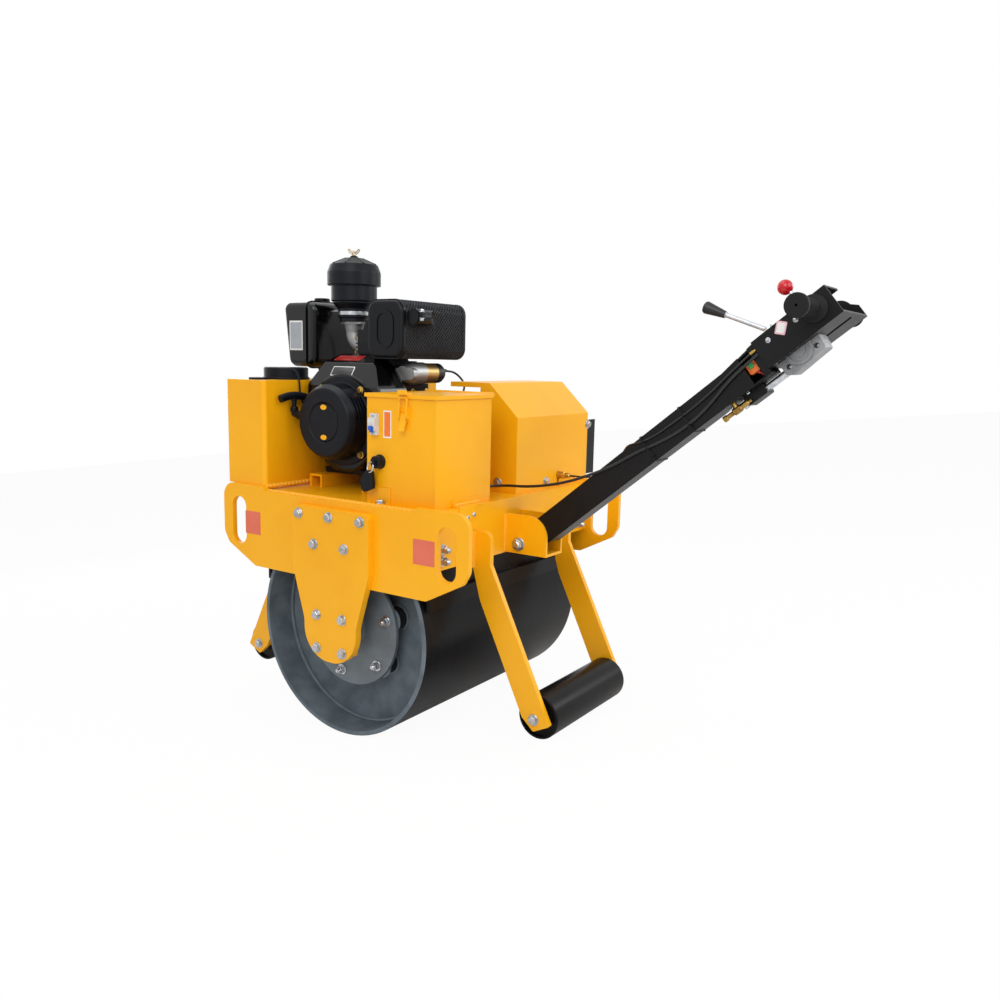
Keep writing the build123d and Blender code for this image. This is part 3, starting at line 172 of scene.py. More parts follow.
def drum_finish():
    """Rolled steel drum: gloss black paint round the outside, grey primer on its ends and inside."""
    material, tree, out, place = blank("painted_rolled_steel")
    axis = node(tree, "VectorMath", {"operation": "SUBTRACT", 1: (0, 0, DRUM_R * MM)}, {0: place})
    parts = node(tree, "SeparateXYZ", links={"Vector": axis.outputs["Vector"]}).outputs
    flat = node(tree, "CombineXYZ", links={"X": parts["X"], "Z": parts["Z"]})
    radius = node(tree, "VectorMath", {"operation": "LENGTH"}, {0: flat.outputs["Vector"]}).outputs["Value"]
    outer = node(tree, "Math", {"operation": "GREATER_THAN", 1: (DRUM_R - 0.6) * MM}, {0: radius}).outputs["Value"]
    # rolling leaves faint bands round the drum, a few millimetres wide
    bands = node(tree, "Mapping", {"Scale": (4.0, 260.0, 4.0)}, {"Vector": place})
    wear = noise(tree, bands.outputs["Vector"], 1.0, 4.0)
    black = ramp(tree, wear, [(0.3, linear("#121314")), (0.7, linear("#1B1C1E"))])
    primer = ramp(tree, noise(tree, place, 22.0, 5.0), [(0.35, linear("#59636A")), (0.65, linear("#6D777F"))])
    body = node(tree, "Mix", {"data_type": "RGBA"}, {0: outer, 6: primer, 7: black}).outputs[2]
    surface(tree, out, wear, 0.35, 0.00025, {"Specular IOR Level": 0.1},
            {"Base Color": body, "Roughness": spread(tree, outer, 0.4, 0.3)})
    return material


def zoned(name, colour, rough, metal, zones, grain_mm=1.2, grain_depth=0.04):
    """Finish whose colour, roughness and metal change by zones, each (colour, roughness, metal, spot, way, radius):
    beyond the plane through a spot in mm across a way, or, with a radius, nearer than that to the line along it
    (farther, if it is negative)."""
    material, tree, out, place = blank(name)
    body = node(tree, "RGB").outputs[0]
    body.default_value = linear(colour)
    gloss, metallic = (node(tree, "Value").outputs[0] for _ in range(2))
    gloss.default_value, metallic.default_value = rough, metal
    for colour, rough, metal, spot, way, radius in zones:
        away = node(tree, "VectorMath", {"operation": "SUBTRACT", 1: STANCE @ (Vector(spot) * MM)}, {0: place})
        kind, output = ("CROSS_PRODUCT", "Vector") if radius else ("DOT_PRODUCT", "Value")
        across = node(tree, "VectorMath", {"operation": kind, 1: STANCE.to_3x3() @ Vector(way).normalized()},
                      {0: away.outputs["Vector"]}).outputs[output]
        if radius:
            across = node(tree, "VectorMath", {"operation": "LENGTH"}, {0: across}).outputs["Value"]
        test = "LESS_THAN" if radius > 0 else "GREATER_THAN"
        inside = node(tree, "Math", {"operation": test, 1: abs(radius) * MM}, {0: across}).outputs["Value"]
        body = node(tree, "Mix", {"data_type": "RGBA", 7: linear(colour)}, {0: inside, 6: body}).outputs[2]
        gloss = node(tree, "Mix", {3: rough}, {0: inside, 2: gloss}).outputs[0]
        metallic = node(tree, "Mix", {3: metal}, {0: inside, 2: metallic}).outputs[0]
    tint = spread(tree, noise(tree, place, 60.0, 3.0), 0.86, 1.08)
    body = node(tree, "VectorMath", {"operation": "SCALE"}, {0: body, "Scale": tint}).outputs["Vector"]
    surface(tree, out, noise(tree, place, 1 / (grain_mm * MM)), 0.6, grain_depth * MM, (),
            {"Base Color": body, "Roughness": gloss, "Metallic": metallic})
    return material


FINISHES = {}


def finishes():
    """Every finish of the machine, made once."""
    if FINISHES:
        return FINISHES
    paint = bpy.context.scene.roller_paint
    yellow, shade = paint_hex(paint.body), paint_hex(paint.body_shade)
    cone, cone_tip = Vector(arm(636.2, 110.8, 10)), Vector(arm(613, 150, 10))
    stem, ball = Vector(arm(757, 33, 10)), Vector(arm(750, 80, 10))
    FINISHES.update({
        # gloss powder coat on steel sheet: a fine orange peel and a soft highlight
        "powder_coat": coated("gloss_powder_coat", yellow, shade, 0.33, 2.2, 0.035, 0.05, edge=0.9,
                              blotch_mm=140.0, specular=0.33),
        # satin black powder coat of the handle: dark, evenly dull
        "black_coat": coated("satin_black_powder_coat", "#0D0D0F", "#08090A", 0.4, 1.6, 0.03, 0.06, edge=0.7,
                             specular=0.22),
        # rolled steel: black paint that carries faint bands, flat grey primer on the ends
        "drum": drum_finish(),
        # grey primer on turned steel
        "primer": coated("grey_primer", "#69737A", "#575F66", 0.42, 3.0, 0.05),
        # moulded black rubber: dull, faintly pored
        "rubber": coated("moulded_rubber", "#101011", "#0A0A0B", 0.66, 0.8, 0.05, specular=0.25),
        # black paint on cast iron and aluminium: sand-cast grain shows through
        "cast_black": coated("painted_casting", "#0E1014", "#08090C", 0.4, 1.4, 0.14, 0.08, specular=0.25),
        # pressed steel in wet-look enamel
        "enamel": coated("black_enamel", "#07080A", "#040506", 0.16, 9.0, 0.05, 0.03, coat=0.12, specular=0.32),
        # heat-proof enamel on the muffler: satin, a little blue
        "pressed_black": coated("satin_black_enamel", "#0A0C11", "#06080C", 0.36, 2.0, 0.05, 0.05,
                                specular=0.22),
        # injection-moulded nylon, matt and grained
        "nylon": coated("moulded_nylon", "#0C1018", "#070A10", 0.38, 1.1, 0.07, specular=0.2),
        # raw sand-cast aluminium: bright, pitted, uneven gloss
        "cast_metal": coated("cast_aluminium", "#9FA0A1", "#7E7F81", 0.5, 1.3, 0.14, 0.08, metal=0.5),
        # bright zinc plate on steel fasteners
        "zinc": coated("zinc_plate", "#C9CCD0", "#A9ADB2", 0.3, 1.0, 0.03, 0.1, metal=1.0, blotch_mm=9.0),
        # yellow chromate on small engine screws
        "gold_zinc": coated("yellow_chromate", "#C9A556", "#A58542", 0.33, 1.0, 0.03, 0.1, metal=1.0, blotch_mm=7.0),
        # zinc plate gone dull and warm on the filter's wing nut
        "warm_zinc": coated("dulled_zinc", "#B9AD92", "#98896A", 0.32, 1.0, 0.03, 0.08, metal=1.0, blotch_mm=9.0),
        # machined brass of the cocks: warm and brown in its low spots
        "brass": coated("brass", "#A98A4C", "#806330", 0.34, 1.2, 0.03, 0.08, metal=1.0, blotch_mm=12.0),
        # cured weld bead under the same powder coat
        "weld": coated("painted_weld", yellow, shade, 0.4, 1.2, 0.12, 0.08),
        # black enamel on small rollers: smooth, with a long soft highlight
        "roller": coated("roller_enamel", "#111112", "#0B0B0C", 0.3, 4.0, 0.05, 0.05, specular=0.12),
        # printed vinyl labels: flat colour, no texture, a dull sheen; four hues
        "salmon": coated("salmon_vinyl", "#DE6E53", "#D6664C", 0.45, 2.0, 0.01),
        "orange": coated("orange_vinyl", "#F0782A", "#E57024", 0.45, 2.0, 0.01),
        "white": coated("white_vinyl", "#EDEDEA", "#E2E2DE", 0.4, 2.0, 0.01),
        "pink": coated("pale_vinyl", "#E9B9C4", "#DFA9B6", 0.45, 2.0, 0.01),
        # lacquered plates on the engine: even colour under a clear, narrow highlight
        "red_plate": coated("red_lacquered_plate", "#B5231B", "#9C1D16", 0.3, 2.0, 0.02),
        "badge": coated("dark_lacquered_plate", "#1F2022", "#17181A", 0.25, 2.0, 0.02),
        # printed foil: pale, half metal, blurred reflections
        "silver_foil": coated("matt_foil", "#A9ADB3", "#979BA1", 0.4, 2.0, 0.01, metal=0.4),
        # bright moulded plastic of small parts: saturated, slightly glossy
        "blue": coated("blue_moulding", "#2A5FC4", "#234FA6", 0.35, 1.5, 0.02),
        # pale case with a blue toggle
        "breaker": zoned("pale_case_blue_toggle", "#D6D6D0", 0.42, 0.0, [("#2A5FC4", 0.35, 0.0, (0, 291.3, 0), LEFT, 0)],
                         1.5, 0.03),
        # the same moulded plastic in green
        "green": coated("green_moulding", "#2F9E57", "#278648", 0.4, 1.5, 0.02),
        # insulated wire and cable: smooth PVC with a faint ripple
        "wire_red": coated("red_wire_sheath", "#C22A20", "#A8231A", 0.4, 2.0, 0.01),
        "cable": coated("cable_sheath", "#101112", "#0B0B0C", 0.4, 3.0, 0.02),
        # cast lead of the battery's posts: dull grey metal
        "lead": coated("battery_lead", "#8C8E90", "#77797B", 0.5, 2.0, 0.03, metal=0.8),
        # heat-proof paint on expanded sheet, greyer than the body behind it
        "mesh": coated("expanded_sheet", "#33363B", "#26282C", 0.5, 2.0, 0.04, specular=0.3),
        # zinc-plated rod with a black cone grip at its end
        "lever": zoned("lever_with_cone_grip", "#C9CCD0", 0.32, 1.0,
                       [("#0C0C0D", 0.42, 0.0, cone, cone_tip - cone, 0)]),
        # zinc-plated stem with a glossy red ball
        "throttle": zoned("lever_with_ball_knob", "#C9CCD0", 0.32, 1.0,
                          [("#C80F1E", 0.2, 0.0, ball - (ball - stem).normalized() * 13.2, ball - stem, 0)], 6.0, 0.01),
        # black rubber between two primed steel plates
        "mounts": zoned("bonded_rubber_mounts", "#6D7880", 0.5, 0.0,
                        [("#0E0E0F", 0.7, 0.0, (0, 231, 0), LEFT, 0), ("#6D7880", 0.5, 0.0, (0, 257, 0), LEFT, 0),
                         ("#0E0E0F", 0.7, 0.0, (0, -231, 0), RIGHT, 0), ("#6D7880", 0.5, 0.0, (0, -257, 0), RIGHT, 0)]),
        # raw casting, a chromated field case, a black end and its cable
        "starter": zoned("starter_casings", "#B4B6B8", 0.42, 0.85,
                         [("#BFA36A", 0.36, 0.9, (0, 36, 0), RIGHT, 0), ("#0E0F11", 0.42, 0.0, (0, -7, 0), RIGHT, 0),
                          ("#0E0F11", 0.42, 0.0, (0.7, 0, 783), LEFT, -35)], 1.4, 0.1),
    })
    return FINISHES


def paint_hex(colour):
    """sRGB hex text of a colour property, whose values are gamma-encoded."""
    return "#" + "".join(f"{round(255 * channel):02X}" for channel in colour)


# ---------------------------------------------------------------- making pieces
def clear():
    """Leaves object mode with nothing selected."""
    if bpy.context.object and bpy.context.object.mode != "OBJECT":
        bpy.ops.object.mode_set(mode="OBJECT")
    bpy.ops.object.select_all(action="DESELECT")


def pick(piece):
    """Selects one piece alone and makes it the active one."""
    clear()
    piece.select_set(True)
    bpy.context.view_layer.objects.active = piece


def editing():
    """Goes into edit mode on the active piece, with all of it selected."""
    bpy.ops.object.mode_set(mode="EDIT")
    bpy.ops.mesh.select_all(action="SELECT")


def outward():
    """Merges doubles, turns the faces outwards and goes back to object mode."""
    bpy.ops.mesh.select_all(action="SELECT")
    bpy.ops.mesh.remove_doubles(threshold=0.000005)
    bpy.ops.mesh.normals_make_consistent(inside=False)
    bpy.ops.object.mode_set(mode="OBJECT")


def lathe(rows, sides=32):
    """Closed turned piece about Z from rows (radius, height) in mm, by extruding and scaling a disc."""
    clear()
    radius, height = rows[0]
    bpy.ops.mesh.primitive_circle_add(vertices=sides, radius=radius * MM, fill_type="NGON",
                                      location=(0, 0, height * MM))
    bpy.ops.object.transform_apply(location=True)
    editing()
    for wide, high in rows[1:]:
        bpy.ops.mesh.extrude_region_move(TRANSFORM_OT_translate={"value": (0, 0, (high - height) * MM)})
        bpy.ops.transform.resize(value=(wide / radius, wide / radius, 1), center_override=(0, 0, 0))
        radius, height = wide, high
    outward()
    return bpy.context.object


def slab(width, depth, height, radius=0.0, soft=0.0, corners=5):
    """Plate on the XY plane, centred, with rounded corners and softened top edges, in mm."""
    clear()
    bpy.ops.mesh.primitive_plane_add(size=1)
    bpy.ops.transform.resize(value=(width * MM, depth * MM, 1), center_override=(0, 0, 0))
    bpy.ops.object.transform_apply(scale=True)
    editing()
    if radius:
        bpy.ops.mesh.bevel(offset=radius * MM, segments=corners, affect="VERTICES")
        bpy.ops.mesh.select_all(action="SELECT")
    bpy.ops.mesh.extrude_region_move(TRANSFORM_OT_translate={"value": (0, 0, height * MM)})
    if soft:
        bpy.ops.mesh.bevel(offset=soft * MM, segments=2, affect="EDGES")
    outward()
    return bpy.context.object


def line(points, radius, kind="NURBS", sides=6, cyclic=False, swell=()):
    """Round bar or cable along points in mm, as a mesh, with each point's share of the radius where it swells.
    Returns it and its centre line."""
    data = bpy.data.curves.new("line", "CURVE")
    data.dimensions = "3D"
    data.resolution_u = 8
    data.bevel_resolution = sides
    data.use_fill_caps = True
    spline = data.splines.new(kind)
    spline.points.add(len(points) - 1)
    for knot, spot in zip(spline.points, points):
        knot.co = (*(Vector(spot) * MM), 1)
    for knot, share in zip(spline.points, swell):
        knot.radius = share
    if kind == "NURBS":
        spline.order_u = 3
        spline.use_endpoint_u = not cyclic
    spline.use_cyclic_u = cyclic
    curve = bpy.data.objects.new("line", data)
    bpy.context.scene.collection.objects.link(curve)
    thread = bpy.data.meshes.new_from_object(curve)
    centre = [vertex.co.copy() for vertex in thread.vertices]
    bpy.data.meshes.remove(thread)
    data.bevel_depth = radius * MM
    pick(curve)
    bpy.ops.object.convert(target="MESH")
    editing()
    outward()
    return bpy.context.object, centre


def bead(start, stop, radius=3.0, ripple=2.8):
    """Weld bead between two points in mm: a row of overlapping ripples."""
    start, reach = Vector(start), Vector(stop) - Vector(start)
    count = 2 * max(2, int(reach.length / ripple))
    points = [start + reach * index / count for index in range(count + 1)]
    swell = [0.84 + 0.16 * (index % 2) + 0.05 * math.sin(2.3 * index) for index in range(count + 1)]
    return line(points, radius, "POLY", 2, swell=swell)[0]


def joined(name, pieces):
    """One object from several."""
    clear()
    for piece in pieces:
        piece.select_set(True)
    bpy.context.view_layer.objects.active = pieces[0]
    if len(pieces) > 1:
        bpy.ops.object.join()
    made = bpy.context.object
    made.name = name
    made.data.name = name
    return made


def facing(spot, direction, spin=0.0):
    """Matrix that stands a piece made on the XY plane on a spot in mm, its Z along a direction."""
    turn = Vector(direction).to_track_quat("Z", "Y").to_matrix().to_4x4()
    return Matrix.Translation(Vector(spot) * MM) @ turn @ Matrix.Rotation(math.radians(spin), 4, "Z")


def placed(piece, matrix):
    """Puts a piece's mesh in place; the object stays at the origin."""
    piece.data.transform(matrix)
    if matrix.determinant() < 0:
        piece.data.flip_normals()
    return piece


def copies(template, places):
    """Copies of one piece, each with its own mesh, at (spot, direction, spin). The template goes."""
    made = []
    for place in places:
        pick(template)
        bpy.ops.object.duplicate()
        made.append(placed(bpy.context.object, facing(*place)))
    bpy.data.objects.remove(template)
    return made


def dressed(piece, finish, smooth=35.0):
    """Turns a piece to the machine's stance and gives it its finish."""
    piece.data.transform(STANCE)
    pick(piece)
    bpy.ops.object.shade_smooth_by_angle(angle=math.radians(smooth))
    piece.data.materials.clear()
    piece.data.materials.append(finishes()[finish])
    return piece


def finished(piece, finish, body):
    """Dresses a piece and ties it to its material slot and to the body it rides on."""
    dressed(piece, finish)
    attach(piece, body)
    return piece


def fit(name, piece, spot, way, finish, body="frame", spin=0):
    """Stands a piece on a spot in mm and finishes it."""
    finished(placed(piece, facing(spot, way, spin)), finish, body).name = name


def fasten(name, template, places, finish="zinc", body="frame"):
    """Copies of a fastener at (spot, direction, spin), as one piece."""
    finished(joined(name, copies(template, places)), finish, body)


def sides(rows, spin=0, step=0):
    """Places of rows (x, y, z, direction) and of their twins on the machine's other side, each spun on by a step."""
    twins = [(x, -y, z, Vector((way[0], -way[1], way[2]))) for x, y, z, way in rows]
    return [((x, y, z), way, spin + step * index) for index, (x, y, z, way) in enumerate(rows + twins)]


# ---------------------------------------------------------------- fasteners
def flat_washer(radius, thick, rim=0.5):
    """Washer with eased edges."""
    return lathe([(radius - rim, 0), (radius, 0.4), (radius, thick - 0.4), (radius - rim, thick)])


def hex_head(across, height, washer_r, washer=2.0, flange=0.0):
    """Bolt head on its washer: chamfered hexagon with a turned top."""
    corner = across / 2 / COS_30
    parts = []
    if washer_r:
        parts.append(flat_washer(washer_r, washer))
    low = washer if washer_r else 0.0
    if flange:
        parts.append(lathe([(flange, low), (flange, low + 0.8), (across / 2, low + 2)], 24))
    head = lathe([(corner * 0.97, low), (corner, low + height * 0.08), (corner, low + height * 0.84),
                  (corner * 0.9, low + height)], 6)
    crown = lathe([(across * 0.44, low + height * 0.9), (across * 0.43, low + height * 1.03)], 24)
    return joined("head", parts + [head, crown])


def nut_on_stud(across, height, washer_r, stud_r, stud_out, washer=2.0):
    """Nut on its washer with the stud's chamfered end standing out."""
    corner = across / 2 / COS_30
    top = washer + height
    parts = [flat_washer(washer_r, washer)]
    parts.append(lathe([(corner * 0.9, washer), (corner, washer + height * 0.14), (corner, washer + height * 0.86),
                        (corner * 0.9, top)], 6))
    parts.append(lathe([(across * 0.42, washer + height * 0.9), (across * 0.36, washer + height * 1.16),
                        (across * 0.3, washer + height * 1.16)], 24))
    thread, level, pitch = [(stud_r, 0.0)], top, 1.5
    while level < top + stud_out - pitch:
        thread += [(stud_r, level), (stud_r * 0.9, level + pitch / 2)]
        level += pitch
    thread += [(stud_r, top + stud_out - 1.2), (stud_r * 0.8, top + stud_out)]
    parts.append(lathe(thread, 16))
    return joined("nut", parts)


def cap_nut(across, height, washer_r):
    """Domed nut on its washer."""
    corner = across / 2 / COS_30
    parts = [flat_washer(washer_r, 2, 0.4)]
    parts.append(lathe([(corner * 0.92, 2), (corner, 3), (corner, 2 + height * 0.5),
                        (corner * 0.86, 2 + height * 0.6)], 6))
    dome = [(across * 0.43, 2 + height * 0.55)]
    for step in range(1, 6):
        angle = math.radians(15 * step)
        dome.append((across * 0.43 * math.cos(angle), 2 + height * (0.55 + 0.45 * math.sin(angle))))
    parts.append(lathe(dome, 24))
    return joined("cap", parts)


def cross_screw(radius, height):
    """Round-headed screw with a cross recess pressed into it."""
    dome = [(radius, 0), (radius, height * 0.3)]
    for step in range(1, 5):
        angle = math.radians(18 * step)
        dome.append((radius * math.cos(angle) + 0.001, height * (0.3 + 0.7 * math.sin(angle))))
    head = lathe(dome, 24)
    for turn in (0, 90):
        cutter = slab(radius * 1.1, radius * 0.24, height)
        placed(cutter, Matrix.Rotation(math.radians(turn), 4, "Z") @ Matrix.Translation((0, 0, height * 0.62 * MM)))
        pick(head)
        cut = head.modifiers.new("recess", "BOOLEAN")
        cut.object = cutter
        cut.solver = "EXACT"
        bpy.ops.object.modifier_apply(modifier="recess")
        bpy.data.objects.remove(cutter)
    return head


# ---------------------------------------------------------------- sizes and colours that a user would change
class RollerPaint(bpy.types.PropertyGroup):
    """Paint of the machine."""
    body: FloatVectorProperty(name="Body colour", description="Powder coat of frame, box, hood and tank",
                              subtype="COLOR_GAMMA", size=3, default=(0.973, 0.694, 0.055), min=0, max=1)
    body_shade: FloatVectorProperty(name="Body drift", description="Slightly deeper tone that the coat drifts towards",
                                    subtype="COLOR_GAMMA", size=3, default=(0.957, 0.671, 0.039), min=0, max=1)


def length(name, description, default, low, high):
    """Property that holds a length in metres."""
    return FloatProperty(name=name, description=description, default=default, min=low, max=high, unit="LENGTH")


class RollerSizes(bpy.types.PropertyGroup):
    """Fasteners and small pieces, in metres."""
    frame_bolt: length("Frame bolt", "Width across flats of the frame's bolt heads", 0.016, 0.01, 0.05)
    mount_nut: length("Mount nut", "Width across flats of the drum mounts' nuts", 0.015, 0.008, 0.04)
    engine_bolt: length("Engine bolt", "Width across flats of the engine's bolts", 0.012, 0.005, 0.03)
    weld: length("Weld", "Radius of the weld beads", 0.0045, 0.001, 0.01)
    loom: length("Loom", "Diameter of the wiring loom on the handle", 0.006, 0.003, 0.012)
    control_cable: length("Control cable", "Diameter of the engine's control cable", 0.004, 0.002, 0.01)
    mesh_cells: IntProperty(name="Mesh cells", description="Cells of the muffler's sheet along its length",
                            default=22, min=8, max=60)


class ROLLER_OT_frame_fasteners(bpy.types.Operator):
    """Bolts, nuts and studs of the frame, the hangers, the legs and the handle's pivot"""
    bl_idname = "roller.frame_fasteners"
    bl_label = "Frame fasteners"

    def execute(self, context):
        across = context.scene.roller_sizes.frame_bolt / MM
        spots = [(x, HANGER_FACE, z, LEFT) for x, z in (
            (-88, 485), (0, 485), (88, 485), (-44, 423), (44, 423), (-37, 270), (37, 270), (-37, 196.5), (37, 196.5))]
        fasten("hanger_bolts", hex_head(across, 7, across * 0.72), sides(spots, step=17))
        spots = [(x, LEG_FACE, 89, LEFT) for x in (-413, 413)]
        fasten("leg_axle_bolts", hex_head(across, 7, across * 0.75), sides(spots, 11))
        spots = [(x, 274, z, way) for x, way in ((-END_PLATE, AFT), (END_PLATE, FORE)) for z in (442, 418)]
        fasten("scraper_cap_nuts", cap_nut(15, 19, 11), sides(spots, 5))
        rows = [((PIVOT[0], y, PIVOT[1]), way, 8) for y, way in ((50, LEFT), (-17, RIGHT))]
        fasten("pivot_nuts", nut_on_stud(22, 9, 15, 8, 3), rows)
        rows = [((-183, -22, 540), LEFT, 13), ((-233, -152, 535), AFT, 13), ((-233, -348, 661), AFT, 13),
                ((-105, 291, 521), UP, 13)]
        fasten("cover_bolts", hex_head(13, 6, 11, 1.6), rows)
        rows = [((-257, y, z), AFT, turn) for y, z, turn in ((216, 501, 20), (195, 495.5, 65), (173, 500, 40))]
        fasten("hinge_screws", cross_screw(5.5, 3.6), rows)
        return {"FINISHED"}


class ROLLER_OT_drum_fasteners(bpy.types.Operator):
    """Nuts that hold the rubber mounts to the drum's carrying discs"""
    bl_idname = "roller.drum_fasteners"
    bl_label = "Drum fasteners"

    def execute(self, context):
        across = context.scene.roller_sizes.mount_nut / MM
        circle = 106.0
        rows = []
        for side, way in ((1, LEFT), (-1, RIGHT)):
            for index in range(6):
                x, z = polar(circle, 44 + 60 * index)
                rows.append(((x, side * DISC_FACE, DRUM_R + z), way, 23 * index))
        fasten("mount_nuts", nut_on_stud(across, 9, across * 0.8, 5, 6), rows, body="drum")
        return {"FINISHED"}


class ROLLER_OT_welds(bpy.types.Operator):
    """Weld beads between the frame's plates"""
    bl_idname = "roller.welds"
    bl_label = "Welds"

    def execute(self, context):
        radius = context.scene.roller_sizes.weld / MM
        rows = [((-250, PLATE_INNER, 518), (218, PLATE_INNER, 518))]        # start, stop
        rows += [((x, y, low), (x, y, high)) for y, low, high in (
            (PLATE_INNER, 402, 515), (LEG_FACE, 386, 464), (LEG_FACE - 12, 386, 464)) for x in (-END_PLATE, END_PLATE)]
        rows += [((a[0], -a[1], a[2]), (b[0], -b[1], b[2])) for a, b in rows]
        rows += [((-END_PLATE, y, 403), (-END_PLATE, y, 485)) for y in (50, -17)]
        beads = [bead(a, b, radius) for a, b in rows]
        beads.append(bead((219, -309, 526), (219, 309, 526), radius * 1.3, 3.0))
        finished(joined("frame_welds", beads), "weld", "frame")

        rings = []
        for way in (LEFT, RIGHT):
            rows = []
            for step in range(180):
                angle = math.radians(2 * step)
                spot = Vector((math.cos(angle), 0, math.sin(angle))) * (221.5 + 0.8 * (step % 2))
                rows.append(spot + way * (231.5 - 0.5 * (step % 2)) + Vector((0, 0, DRUM_R)))
            rings.append(line(rows, 4.2, "POLY", 2, True)[0])
        finished(joined("drum_welds", rings), "primer", "drum")
        return {"FINISHED"}


class ROLLER_OT_plates(bpy.types.Operator):
    """Bare plates and labels, some with a border round their face"""
    bl_idname = "roller.plates"
    bl_label = "Plates and labels"

    def execute(self, context):
        labels = [                                      # name, finish, width, height, spot, direction, spin, body
            (f"lifting_label_{end}_{side}", "salmon", width, height, (x, y, z), way, 0, "frame")
            for side, y, way in (("left", PLATE_OUTER, LEFT), ("right", -PLATE_OUTER, RIGHT))
            for end, width, height, x, z in (("front", 49, 52, 252.5, 442), ("rear", 54, 51, -241.6, 440.5))]
        box, tank, head = (-110.5, 276, 683), (317.5, 118, 865), arm(710.5, 17.8, HEAD_NEAR)
        labels += [("box_label_border", "white", 21, 56, box, LEFT, 0, "frame"),
                   ("tank_strip", "white", 44, 70, tank, LEFT, 0, "frame"),
                   ("head_label", "pink", 19, 23.5, head, LEFT, -8, "handle")]
        faces = [("box_label", "orange", 16, 50, box, LEFT, 0, "frame"),
                 ("tank_strip_face", "silver_foil", 38, 62, tank, LEFT, 0, "frame"),
                 ("head_label_face", "white", 14, 18, head, LEFT, -8, "handle")]
        for thick, corner, plates in ((0.5, 2.0, labels), (0.8, 1.5, faces)):
            for name, finish, width, height, spot, way, spin, body in plates:
                fit(name, slab(width, height, thick, corner), spot, way, finish, body, spin)
        return {"FINISHED"}


class ROLLER_OT_box_fittings(bpy.types.Operator):
    """Window and screws of the circuit breaker, the key's ring, and the battery's posts, leads and caps"""
    bl_idname = "roller.box_fittings"
    bl_label = "Control box fittings"

    def execute(self, context):
        fit("breaker_window", slab(11, 12, 0.8, 1.5, 0.2), (-80.5, 291, 671.5), LEFT, "blue")
        turn = facing((-80, 294, 594), (0.3, 1, 0.2))
        loop = [turn @ (Vector((*polar(11, 30 * step), 0)) * MM) / MM for step in range(12)]
        finished(line(loop, 1.6, "NURBS", 4, True)[0], "zinc", "frame").name = "key_ring"
        rows = [((-79, 285, z), LEFT, 25) for z in (663.5, 700.5)]
        fasten("breaker_screws", cross_screw(3.6, 2.2), rows)

        top = 678.0
        posts = []
        for y in (122, 236):
            post = lathe([(9.5, 0), (9.5, 2), (8.6, 3), (8.0, 16), (7.2, 17)], 24)
            posts.append(placed(post, facing((-205, y, top), UP)))
            posts.append(placed(slab(30, 22, 9, 5, 1.2), facing((-205, y, top + 4), UP)))
        finished(joined("battery_posts", posts), "lead", "frame")
        wires = []
        for y, bow in ((122, 26), (236, -30)):
            points = [(x, y + bow * share, top + rise) for x, share, rise in (
                (-192, 0, 9), (-170, 0.3, 20), (-140, 1, 22), (-105, 1, 10), (-84, 0.6, -30), (-80, 0.4, -90),
                (-76, 0.5, -148))]
            wires.append(line(points, 4)[0])
        finished(joined("battery_leads", wires), "cable", "frame")
        vents = [((-170, y, top), UP, 0) for y in (136, 150, 164, 194, 208, 222)]
        cap = lathe([(6.5, 0), (6.5, 2.4), (5.6, 3.2), (2.4, 3.2), (2.0, 2.2)], 20)
        fasten("battery_caps", cap, vents, "nylon")
        return {"FINISHED"}


